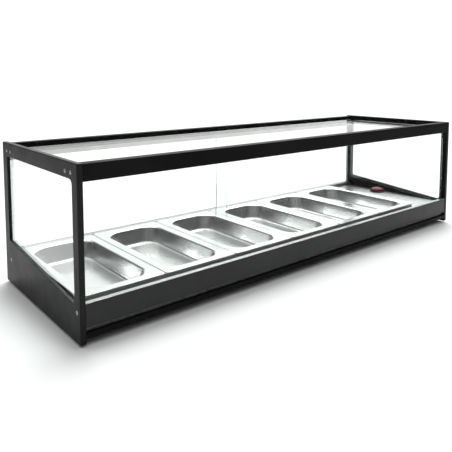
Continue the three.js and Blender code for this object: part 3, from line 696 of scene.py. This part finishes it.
def front_parts():
    folded_panel("front_fascia", cad("front_fascia").y0 + FASCIA_RETURN, BLACK_SHEET)
    folded_panel("front_lower_rail", cad("front_lower_rail").y1, BLACK_RAIL)
    front_channel()
    front_gasket()
    glass = cad("front_glass")
    pane("front_glass", rectangle(glass.x0, glass.x1, glass.z0, glass.z1, 1), glass.y0, glass.y1, "Y",
         face=COATED_GLASS, edge=COATED_GLASS)


# ---------------------------------------------------------------- deck, well and pans

DECK_GAP = 0.3  # between the deck and what lies on it
SWITCH_HOLE = 14.5  # radius of the hole for the light switch
WELL_LAP = 4  # how far the well's upstand lies over the deck's edge
WELL_SEAT = 8.5  # width of the seat for the pan rims
SEAT_CORNER = 12
WELL_FLOOR = 6  # from the seat to the ring that the floor's last face fills


def deck():
    """Sheet with a cut-out for the well, a hole for the switch and a hem at its back edge."""
    box, well = cad("deck_panel"), cad("well_tray")
    at = plan(cad("light_switch_housing"))
    top, bottom = box.z1, box.z1 - SHEET
    cut_out = rectangle(well.x0 + WELL_LAP, well.x1 - WELL_LAP, well.y0 + WELL_LAP, well.y1 - WELL_LAP, 6)
    bm = bmesh.new()
    add_shell(bm, [
        wall(rectangle(box.x0, box.x1, box.y0, box.y1, 1), bottom, top, 0.3),
        wall(cut_out, bottom, top, 0.2, hole=True),
        [(circle(*at, SWITCH_HOLE, 48), bottom), (circle(*at, SWITCH_HOLE, 48), top)]], "Z")
    hem = rectangle(box.y1 - SHEET, box.y1, box.z0, bottom - 0.02, 0.3)
    add_shell(bm, [[(rounded(hem), box.x0), (rounded(hem), box.x1)]], "X")
    stands_for(make("deck_panel_finished", bm, STEEL), "stainless", "deck_panel")


def well_tray():
    """Pressed well: floor, walls, seat for the pan rims, and an upstand that rests on the deck."""
    box = cad("well_tray")
    corners = rectangle(box.x0, box.x1, box.y0, box.y1, SEAT_CORNER)
    foot = cad("deck_panel").z1 + DECK_GAP
    floor, under = WELL_SEAT + WELL_FLOOR, WELL_SEAT - SHEET
    profile = rounded([
        (floor, box.z0, 0), (under, box.z0, 3), (under, box.z1 - SHEET, 0.4), (SHEET, box.z1 - SHEET, 1),
        (SHEET, foot, 0.2), (0, foot, 0.2), (0, box.z1, 2), (WELL_SEAT, box.z1, 1.6),
        (WELL_SEAT, box.z0 + SHEET, 2), (floor, box.z0 + SHEET, 0)], closed=False, steps=4)
    rings = [(rounded(grown(corners, -p.x), steps=8), p.y) for p in profile]
    solid("well_tray", [rings], "Z", "stainless", STEEL)


PAN_COUNT = 6
PAN_SHEET = 0.8
PAN_RIM = 21.4  # edge of the pan to the shoulder of the bowl, and to the foot of its wall
PAN_FOOT = 29.6
PAN_FLOOR = 44  # inset of the ring that the floor's last face fills
RIM_CORNER = 10
BOWL_CORNER = 42  # corner radius of the bowl
CORNER_CHANGE = 26  # the corner radius grows from one to the other over this inset


def pans():
    """Gastronorm 1/3 pans: flat rim, soft shoulder, drafted walls and a rounded floor."""
    for number in range(1, PAN_COUNT + 1):
        node = f"pan_{number}"
        box = cad(node)
        depth = box.z1 - box.z0
        middle_x, middle_y = plan(box)
        half_x, half_y = (box.x1 - box.x0) / 2, (box.y1 - box.y0) / 2
        profile = rounded([
            (PAN_FLOOR, -depth, 0), (PAN_FOOT - 1, -depth, 7), (PAN_RIM - PAN_SHEET, -1, 4),
            (0.3, -1, 0.3), (0, -0.5, 0.25), (0.1, 0, 0.4), (PAN_RIM, 0, 4.6),
            (PAN_FOOT, PAN_SHEET - depth, 7), (PAN_FLOOR, PAN_SHEET - depth, 0)], closed=False)
        rings = []
        for inset, height in profile:
            radius = RIM_CORNER + (BOWL_CORNER - RIM_CORNER) * min(1, inset / CORNER_CHANGE)
            a, b = half_x - inset, half_y - inset
            corners = rectangle(middle_x - a, middle_x + a, middle_y - b, middle_y + b, radius)
            rings.append((rounded(corners, steps=12), box.z1 + height))
        solid(node, [rings], "Z", "pan_steel", PAN_STEEL)


# ---------------------------------------------------------------- sliding rear doors

DOOR_PLAY = 0.8  # on either side of a door in its groove
DOOR_CLEARANCE = 0.6  # under a door
DOOR_HEADROOM = 2.1  # over a door


def door_track(node, slots_up, slot, floor, mat):
    """Bar with a groove for each door, open upwards or downwards."""
    box = cad(node)
    mouth, away = (box.z1, box.z0) if slots_up else (box.z0, box.z1)
    rim = [(box.y0, mouth, 0.6)]
    for door in (cad("rear_door_left"), cad("rear_door_right")):
        y0, y1 = door.y0 - DOOR_PLAY, door.y1 + DOOR_PLAY
        rim += [(y0, mouth, 0.3), (y0, floor, 0.3), (y1, floor, 0.3), (y1, mouth, 0.3)]
    section(node, [*rim, (box.y1, mouth, 0.6), (box.y1, away, 0.8), (box.y0, away, 0.8)], slot, mat)


def doors():
    left, right = cad("rear_door_left"), cad("rear_door_right")
    door_track("lower_door_track", True, "aluminium", left.z0 - DOOR_CLEARANCE, ALUMINIUM)
    door_track("upper_door_track", False, "white_plastic", left.z1 + DOOR_HEADROOM, WHITE_PLASTIC)
    for side, box in (("left", left), ("right", right)):
        pane(f"rear_door_{side}", rectangle(box.x0, box.x1, box.z0, box.z1, 1.5), box.y0, box.y1, "Y")
        pull = cad(f"door_pull_{side}")
        grip = wall(rectangle(pull.x0, pull.x1, pull.z0, pull.z1, 5.5), pull.y0, pull.y1, 1.2, steps=4)
        solid(f"door_pull_{side}", [grip], "Y", "clear_acrylic", ACRYLIC)


# ---------------------------------------------------------------- service side: panel and controls

VENT_COLUMNS = [-480 + 80 * i for i in range(10)]
VENT_ROWS = (30, 38, 46)
VENT_LENGTH = 50
VENT_HEIGHT = 3.4
SWITCH_CUT = (6.6, 10.6)  # half width and half height of the openings in the panel
INLET_CUT = (14, 10.3)
NECK_HOLE = 4  # radii of the round holes
LAMP_HOLE = 3.6
FLANGE_GAP = 0.3  # between the panel and a flange that lies on it


def centred(x, z, half_width, half_height, radius):
    return rectangle(x - half_width, x + half_width, z - half_height, z + half_height, radius)


def rear_panel():
    panel = cad("rear_panel")
    y0, y1 = panel.y0, panel.y1
    outer = wall(rectangle(panel.x0, panel.x1, panel.z0, panel.z1, 2), y0, y1, 0.3)
    slots = [rectangle(x, x + VENT_LENGTH, z, z + VENT_HEIGHT, VENT_HEIGHT / 2 - 0.05)
             for x in VENT_COLUMNS for z in VENT_ROWS]
    vents = [wall(slot, y0, y1, 0.3, hole=True) for slot in slots]
    round_holes = [[(circle(*elevation(cad(node)), radius), y) for y in (y0, y1)]
                   for node, radius in (("thermostat_body", NECK_HOLE), ("pilot_lamp", LAMP_HOLE))]
    square_holes = [wall(centred(*elevation(cad(node)), *cut, 0.6), y0, y1)
                    for node, cut in (("power_switch_housing", SWITCH_CUT), ("power_inlet", INLET_CUT))]
    solid("rear_panel", [outer, *vents, *round_holes, *square_holes], "Y", "black_paint", BLACK)


MARK_COUNT = 10
MARK_STEP = 30  # degrees from one mark to the next
MARK_START = 16  # radii of the marks
MARK_END = 18.2
OFF_MARK_END = 19


def dial_marks():
    """Plain marks round the thermostat knob; the one for off is wider and longer."""
    panel = cad("rear_panel")
    centre = Vector(elevation(cad("thermostat_body")))
    bm = bmesh.new()
    for k in range(MARK_COUNT):
        turn = math.radians(90 - MARK_STEP * k)
        along = Vector((math.cos(turn), math.sin(turn)))
        across = Vector((-along.y, along.x)) * (0.5 if k else 1.0)
        start, end = along * MARK_START, along * (MARK_END if k else OFF_MARK_END)
        loop = [p + centre for p in (start - across, end - across, end + across, start + across)]
        add_shell(bm, [[(loop, panel.y1 + 0.01), (loop, panel.y1 + 0.12)]], "Y")
    detail(make("thermostat_dial_marks", bm, WHITE_PLASTIC), "white_plastic", "case")


KNOB_SKIRT = 14  # radii of the knob
KNOB_GRIP = 11.4
SHAFT = 3
KNOB_HEIGHT = 15
FLUTES = 18
FLUTE_POINTS = 144


def thermostat_knob():
    """Fluted knob with a skirt, a pointer ridge and a white line on it."""
    knob = cad("thermostat_knob")
    x, z = elevation(cad("thermostat_body"))
    face = cad("rear_panel").y1 + 0.6
    top = face + KNOB_HEIGHT

    def fluted(radius, depth):
        loop = []
        for i, spoke in enumerate(circle(0, 0, 1, FLUTE_POINTS)):
            wave = 0.5 + 0.5 * math.cos(FLUTES * 2 * math.pi * i / FLUTE_POINTS)
            loop.append(Vector((x, z)) + spoke * (radius - depth * wave))
        return loop

    rings = [
        (fluted(SHAFT, 0), knob.y0), (fluted(SHAFT, 0), face),
        (fluted(KNOB_SKIRT - 0.6, 0), face), (fluted(KNOB_SKIRT, 0), face + 0.6),
        (fluted(KNOB_SKIRT, 0), face + 2.6), (fluted(KNOB_SKIRT - 0.4, 0), face + 3.2),
        (fluted(KNOB_GRIP + 0.4, 0.2), face + 4.6), (fluted(KNOB_GRIP, 0.7), face + 6),
        (fluted(KNOB_GRIP - 0.5, 0.7), top - 1.2), (fluted(KNOB_GRIP - 1, 0.4), top - 0.4),
        (fluted(KNOB_GRIP - 1.8, 0), top)]
    bm = bmesh.new()
    add_shell(bm, [rings], "Y")
    ridge = rectangle(x - 1.5, x + 1.5, z - 8, z + 10.2, 1.3)
    add_shell(bm, [wall(ridge, top + 0.02, knob.y1 - 0.05, 0.5)], "Y")
    stands_for(make("thermostat_knob_finished", bm, BLACK_PLASTIC), "black_plastic", "thermostat_knob")
    bm = bmesh.new()
    line = rectangle(x - 0.5, x + 0.5, z + 3, z + 9.4, 0.45)
    add_shell(bm, [wall(line, knob.y1 - 0.04, knob.y1)], "Y")
    detail(make("thermostat_pointer_line", bm, WHITE_PLASTIC), "white_plastic", "thermostat_knob")


ROCKER_TILT = -9  # degrees
ROCKER_HALF = 8.2  # half the height of its face
ROCKER_RISE = 3.4  # the ends of the face over the pivot
ROCKER_DISH = 1.3


def rocker():
    """Rocker in its off position, with a dished face."""
    box = cad("power_rocker")
    _, z = elevation(cad("power_switch_housing"))
    cos, sin = math.cos(math.radians(ROCKER_TILT)), math.sin(math.radians(ROCKER_TILT))
    pivot = cad("rear_panel").y1 - 1
    dish = [(ROCKER_RISE - ROCKER_DISH * (1 - (h / ROCKER_HALF) ** 2), h)
            for h in (-ROCKER_HALF, -6, -4, -2, 0, 2, 4, 6, ROCKER_HALF)]
    outline = [(-3.2, -7.6), *dish, (-3.2, 7.6), (-4.4, 0)]
    loop = [Vector((pivot + a * cos - b * sin, z + a * sin + b * cos)) for a, b in outline]
    solid("power_rocker", [[(loop, box.x0), (loop, box.x1)]], "X", "red_plastic", RED_PLASTIC)


def switch_housing():
    """Snap-in housing: body, flange with a softened front, and the mouth that the rocker sits in."""
    box, panel = cad("power_switch_housing"), cad("rear_panel")
    x, z = elevation(box)

    def ring(half_width, half_height, radius, y):
        return rounded(centred(x, z, half_width, half_height, radius)), y

    body, flange, mouth = (6.3, 10.3, 0.5), (7.6, 12, 1.2), centred(x, z, 4.8, 9.5, 0.6)
    near = panel.y1 + FLANGE_GAP
    solid("power_switch_housing", [[
        ring(*body, box.y0), ring(*body, near), ring(*flange, near), ring(*flange, box.y1 - 0.8),
        ring(7.1, 11.5, 1.0, box.y1 - 0.1), ring(6.7, 11.1, 0.9, box.y1),
        (rounded(grown(mouth, 0.3)), box.y1), (rounded(mouth), box.y1 - 0.3),
        (rounded(mouth), panel.y0 - 8)]], "Y", "black_plastic", BLACK_PLASTIC)


def pilot_lamp():
    """Round lens with a collar that lies on the panel."""
    box = cad("pilot_lamp")
    x, z = elevation(box)
    face = cad("rear_panel").y1 + FLANGE_GAP
    profile = rounded([
        (0, box.y0, 0), (3.2, box.y0, 0.3), (3.2, face, 0), (5, face, 0.2), (5, face + 1.2, 0.4),
        (4.1, face + 1.6, 0.3), (3.9, face + 3.4, 1.2), (2, box.y1 - 0.1, 1.5), (0, box.y1, 0)], closed=False)
    bm = bmesh.new()
    add_turned(bm, [tuple(p) for p in profile], "Y", (x, 0, z))
    stands_for(make("pilot_lamp_finished", bm, RED_PLASTIC), "red_plastic", "pilot_lamp")


SOCKET_HALF = (12, 8)  # half width and half height of the inlet's socket
SOCKET_CHAMFER = 4  # cut off its upper corners
BLADE_PLACES = ((-7, -2), (7, -2), (0, 3))
ARC_STEPS = 4


def inlet_oblong(x, z, half_width, half_height, radius):
    """Rounded oblong with as many points as the six-cornered socket, so that a wall can join them:
    the two spare groups of points lie on its sides."""
    quarters = [(-1, -1, 180), (1, -1, 270), (1, 0, None), (1, 1, 0), (-1, 1, 90), (-1, 0, None)]
    points = []
    for across, up, start in quarters:
        a = x + across * half_width
        for k in range(ARC_STEPS + 1):
            if up == 0:
                points.append(Vector((a, z + (k - ARC_STEPS / 2) * 0.4 * across)))
                continue
            turn = math.radians(start + 90 / ARC_STEPS * k)
            points.append(Vector((a - across * radius + radius * math.cos(turn),
                                  z + up * (half_height - radius) + radius * math.sin(turn))))
    return points


def power_inlet():
    """Appliance inlet: body, flange, a socket with two cut corners, and three blades in it."""
    box, panel = cad("power_inlet"), cad("rear_panel")
    x, z = elevation(box)
    w, h = SOCKET_HALF
    step = h - SOCKET_CHAMFER
    socket = [(x - w, z - h, 0.8), (x + w, z - h, 0.8), (x + w, z + step, 0.8),
              (x + w - SOCKET_CHAMFER, z + h, 0.8), (x - w + SOCKET_CHAMFER, z + h, 0.8),
              (x - w, z + step, 0.8)]
    near = panel.y1 + FLANGE_GAP
    body, flange = inlet_oblong(x, z, 13.6, 9.9, 0.8), inlet_oblong(x, z, 16, 12.5, 2)
    solid("power_inlet", [[
        (body, box.y0), (body, near), (flange, near), (flange, box.y1 - 0.7),
        (inlet_oblong(x, z, 15.5, 12, 1.8), box.y1 - 0.1), (inlet_oblong(x, z, 15, 11.5, 1.6), box.y1),
        (rounded(grown(socket, 0.4), steps=ARC_STEPS), box.y1),
        (rounded(socket, steps=ARC_STEPS), box.y1 - 0.4),
        (rounded(socket, steps=ARC_STEPS), panel.y0 - 13)]], "Y", "black_plastic", BLACK_PLASTIC)
    bm = bmesh.new()
    for dx, dz in BLADE_PLACES:
        blade = centred(x + dx, z + dz, 1, 2, 0.3)
        add_shell(bm, [wall(blade, panel.y0 - 12.9, panel.y1 - 1, 0.25)], "Y")
    detail(make("power_inlet_blades", bm, ZINC), "zinc", "case")


NECK = 3  # length of the thermostat's neck


def thermostat():
    """Body behind the panel, and the collar round its shaft."""
    box = cad("thermostat_body")
    x, z = elevation(box)
    body = wall(rectangle(box.x0, box.x1, box.z0, box.z1, 2.5), box.y0, box.y1 - NECK, 0.8)
    solid("thermostat_body", [body], "Y", "white_plastic", WHITE_PLASTIC)
    bm = bmesh.new()
    foot = box.y1 - NECK + 0.1
    neck = [(3.4, foot), (6, foot), (6, box.y1 - 0.4), (5.6, box.y1), (3.4, box.y1)]
    add_turned(bm, neck, "Y", (x, 0, z), closed=True)
    detail(make("thermostat_neck", bm, ZINC), "zinc", "case")


def service_side():
    rear_panel()
    dial_marks()
    thermostat()
    thermostat_knob()
    switch_housing()
    rocker()
    pilot_lamp()
    power_inlet()


# ---------------------------------------------------------------- light switch on the deck

RING_BORE = 7  # radius of the hole through the switch
RING_WIDTH = 1.8
RING_SEAT = 0.8  # the floor of the ring over the deck
STEM = 6.4  # radius of the button's stem
SKIRT_GAP = 1.2
SKIRT = 1.6


def switch_ring():
    """Bezel with a flat floor on the deck and a body through the deck's hole."""
    ring = cad("light_switch_housing")
    deck_top = cad("deck_panel").z1 + DECK_GAP
    outer, body, seat = (ring.x1 - ring.x0) / 2, SWITCH_HOLE - 1, deck_top + RING_SEAT
    profile = rounded([
        (RING_BORE, ring.z0, 0.3), (body, ring.z0, 0.3), (body, deck_top, 0.3), (outer, deck_top, 0.3),
        (outer, ring.z1 - 0.6, 0.5), (outer - 0.9, ring.z1, 0.5), (outer - RING_WIDTH, ring.z1, 0.3),
        (outer - RING_WIDTH, seat, 0.3), (RING_BORE, seat, 0.3)])
    bm = bmesh.new()
    add_turned(bm, [tuple(p) for p in profile], "Z", (*plan(ring), 0), closed=True, steps=64)
    stands_for(make("light_switch_housing_finished", bm, BLACK_PLASTIC), "black_plastic",
               "light_switch_housing")


def switch_button():
    """Domed red cap on a stem."""
    ring, button = cad("light_switch_housing"), cad("light_switch_button")
    radius = (button.x1 - button.x0) / 2
    skirt = ring.z1 + SKIRT_GAP
    shoulder = skirt + SKIRT
    crown = button.z1 - shoulder
    dome = [(radius * math.cos(t), shoulder + crown * math.sin(t))
            for t in (math.radians(6 * step) for step in range(15))]
    profile = [
        (0, button.z0), (STEM - 0.4, button.z0), (STEM, button.z0 + 0.4), (STEM, skirt),
        (radius - 0.5, skirt), (radius, skirt + 0.5), *dome, (0, button.z1)]
    bm = bmesh.new()
    add_turned(bm, profile, "Z", (*plan(ring), 0), steps=64)
    stands_for(make("light_switch_button_finished", bm, RED_PLASTIC), "red_plastic", "light_switch_button")


# ---------------------------------------------------------------- lighting, heating and the rest

LED_WALL = 1.2
LED_TOP = 1.5


def led_strip():
    """Aluminium channel, open downwards, and the lens in it."""
    box, lens = cad("led_profile"), cad("led_diffuser")
    inner, roof = (box.y0 + LED_WALL, box.y1 - LED_WALL), box.z1 - LED_TOP
    section("led_profile", [
        (box.y0, box.z0, 0.3), (inner[0], box.z0, 0.3), (inner[0], roof, 0.3), (inner[1], roof, 0.3),
        (inner[1], box.z0, 0.3), (box.y1, box.z0, 0.3), (box.y1, box.z1, 0.5), (box.y0, box.z1, 0.5)],
        "aluminium", ALUMINIUM)
    section("led_diffuser", rectangle(lens.y0, lens.y1, lens.z0, lens.z1, 0.7), "white_plastic",
            WHITE_PLASTIC)


FOOT_RADIUS = 18
FOOT_NECK = 16.2
FOOT_SOLE = 0.6  # depth of the hollow under the foot


def feet():
    """Moulded feet: a hollow sole, a tapered side and a groove under the upper flange."""
    for node in (n for n in frame["nodes"] if n.startswith("foot_")):
        box = cad(node)
        profile = rounded([
            (0, FOOT_SOLE, 0), (11, FOOT_SOLE, 0.5), (12, 0, 0.5), (16.6, 0, 0.8), (FOOT_RADIUS, 1.6, 1),
            (17.2, 8, 0.5), (FOOT_NECK, 8.3, 0.4), (FOOT_NECK, 9.4, 0.4), (16.9, 9.8, 0.4),
            (16, box.z1, 0.4), (0, box.z1, 0)], closed=False)
        bm = bmesh.new()
        add_turned(bm, [tuple(p) for p in profile], "Z", (*plan(box), 0))
        stands_for(make(node + "_finished", bm, RUBBER), "rubber", node)


def tube(node, points, radius, slot, mat):
    """Round tube along a smooth path of points."""
    curve = bpy.data.curves.new(node + "_finished", "CURVE")
    curve.dimensions = "3D"
    curve.bevel_depth = radius * MM
    curve.bevel_resolution = 5
    curve.resolution_u = 6
    curve.use_fill_caps = True
    line = curve.splines.new("POLY")
    line.points.add(len(points) - 1)
    for point, at in zip(line.points, points):
        point.co = (*(value * MM for value in at), 1)
    curve.materials.append(mat)
    obj = bpy.data.objects.new(node + "_finished", curve)
    bpy.context.scene.collection.objects.link(obj)
    stands_for(obj, slot, node)


HEATER_RADIUS = 4
BEND_STEPS = 24


def heaters():
    """Tubular elements: two straight legs joined by a half-circle bend."""
    for node in ("heating_element_front", "heating_element_rear"):
        box = cad(node)
        y, z = end_on(box)
        bend = (box.y1 - box.y0) / 2 - HEATER_RADIUS
        turn = box.x0 + HEATER_RADIUS + bend
        arc = [(turn - bend * math.sin(a), y + bend * math.cos(a), z)
               for a in (math.pi * k / BEND_STEPS for k in range(BEND_STEPS + 1))]
        path = [(box.x1, y + bend, z), *arc, (box.x1, y - bend, z)]
        tube(node, path, HEATER_RADIUS, "stainless", STEEL)


def carried_over_pieces():
    """CAD nodes whose shape is already right keep it and take a worked-out finish."""
    finishes = {
        # the base tray's zinc is darkened as painted shade for the groove under the fascia
        "base_tray": GALVANISED_PAINTED_SHADE, "insulation_board": WOOL, "thermostat_sensor": STEEL,
        "led_driver": WHITE_PLASTIC, "terminal_block": WHITE_PLASTIC}
    for node, mat in finishes.items():
        mesh = frame["nodes"][node].data
        mesh.materials.clear()
        mesh.materials.append(mat)


# ---------------------------------------------------------------- stage and light

BRIGHT_WALL = (0.64, 0.77, 0)  # level direction from the case to the bright wall
WALL_FADE = (0.55, 0.92)  # cosines at which the wall's light starts and is full
WALL_LIGHT = 1.1
CEILING_FADE = (0.25, 0.9)  # the same for the ceiling, from straight up
CEILING_LIGHT = 0.9
DIM_SIDES = 0.08  # light from the other sides
BACKDROP = 1.2  # what the eye sees behind the case
KEY_FROM = (0.55, 0.45, 0.95)
KEY_STRENGTH = 2.9
KEY_SOFTNESS = 52  # degrees across
FLOOR_RADIUS = 3  # metres
FLOOR_GREY = (0.9, 0.9, 0.9)


def world():
    """White all round for the eye. As light it is a soft studio: a bright wall behind and to the
    right, a soft ceiling, and little from the other sides."""
    sky = bpy.data.worlds.new("studio")
    bpy.context.scene.world = sky
    sky.use_nodes = True
    nodes, links = sky.node_tree.nodes, sky.node_tree.links
    nodes.clear()

    def node(kind, **inputs):
        made = nodes.new("ShaderNode" + kind)
        for name, value in inputs.items():
            made.inputs[name.replace("_", " ")].default_value = value
        return made

    def ramp_of(output, fade, high):
        scaled = node("MapRange", From_Min=fade[0], From_Max=fade[1], To_Min=DIM_SIDES, To_Max=high)
        scaled.interpolation_type = "SMOOTHSTEP"
        links.new(output, scaled.inputs["Value"])
        return scaled.outputs["Result"]

    def maximum(first, second):
        larger = node("Math")
        larger.operation = "MAXIMUM"
        links.new(first, larger.inputs[0])
        links.new(second, larger.inputs[1])
        return larger.outputs["Value"]

    direction = node("TexCoord")
    towards_wall = node("VectorMath")
    towards_wall.operation = "DOT_PRODUCT"
    towards_wall.inputs[1].default_value = BRIGHT_WALL
    links.new(direction.outputs["Generated"], towards_wall.inputs[0])
    axes = node("SeparateXYZ")
    links.new(direction.outputs["Generated"], axes.inputs["Vector"])
    wall_light = ramp_of(towards_wall.outputs["Value"], WALL_FADE, WALL_LIGHT)
    ceiling = ramp_of(axes.outputs["Z"], CEILING_FADE, CEILING_LIGHT)
    rays = node("LightPath")
    seen = maximum(rays.outputs["Is Camera Ray"], rays.outputs["Is Transmission Ray"])
    soft, plain = node("Background"), node("Background", Strength=BACKDROP)
    mix, output = node("MixShader"), node("OutputWorld")
    links.new(maximum(wall_light, ceiling), soft.inputs["Strength"])
    links.new(seen, mix.inputs["Fac"])
    links.new(soft.outputs["Background"], mix.inputs[1])
    links.new(plain.outputs["Background"], mix.inputs[2])
    links.new(mix.outputs["Shader"], output.inputs["Surface"])
    for background in (soft, plain):
        background.inputs["Color"].default_value = (1, 1, 1, 1)


def key_light():
    """Large soft lamp, far off behind the case to the right, so that the shadow falls to the front."""
    light = bpy.data.lights.new("key", "SUN")
    light.energy = KEY_STRENGTH
    light.angle = math.radians(KEY_SOFTNESS)
    obj = bpy.data.objects.new("key", light)
    obj.rotation_euler = (-Vector(KEY_FROM)).to_track_quat("-Z", "Y").to_euler()
    bpy.context.scene.collection.objects.link(obj)


def floor():
    bm = bmesh.new()
    bmesh.ops.create_circle(bm, cap_ends=True, segments=96, radius=FLOOR_RADIUS)
    mesh = bpy.data.meshes.new("floor")
    bm.to_mesh(mesh)
    bm.free()
    mesh.materials.append(base_material("pale_floor", FLOOR_GREY, 0.6, Specular_IOR_Level=0.1))
    obj = bpy.data.objects.new("floor", mesh)
    bpy.context.scene.collection.objects.link(obj)


def studio():
    bpy.context.scene.view_settings.view_transform = "Standard"
    world()
    floor()
    key_light()


# ---------------------------------------------------------------- assembly

add_camera()
end_frames()
front_top_rail()
rear_top_rail()
top_glass()
front_parts()
deck()
well_tray()
pans()
doors()
service_side()
switch_ring()
switch_button()
led_strip()
feet()
heaters()
carried_over_pieces()
studio()
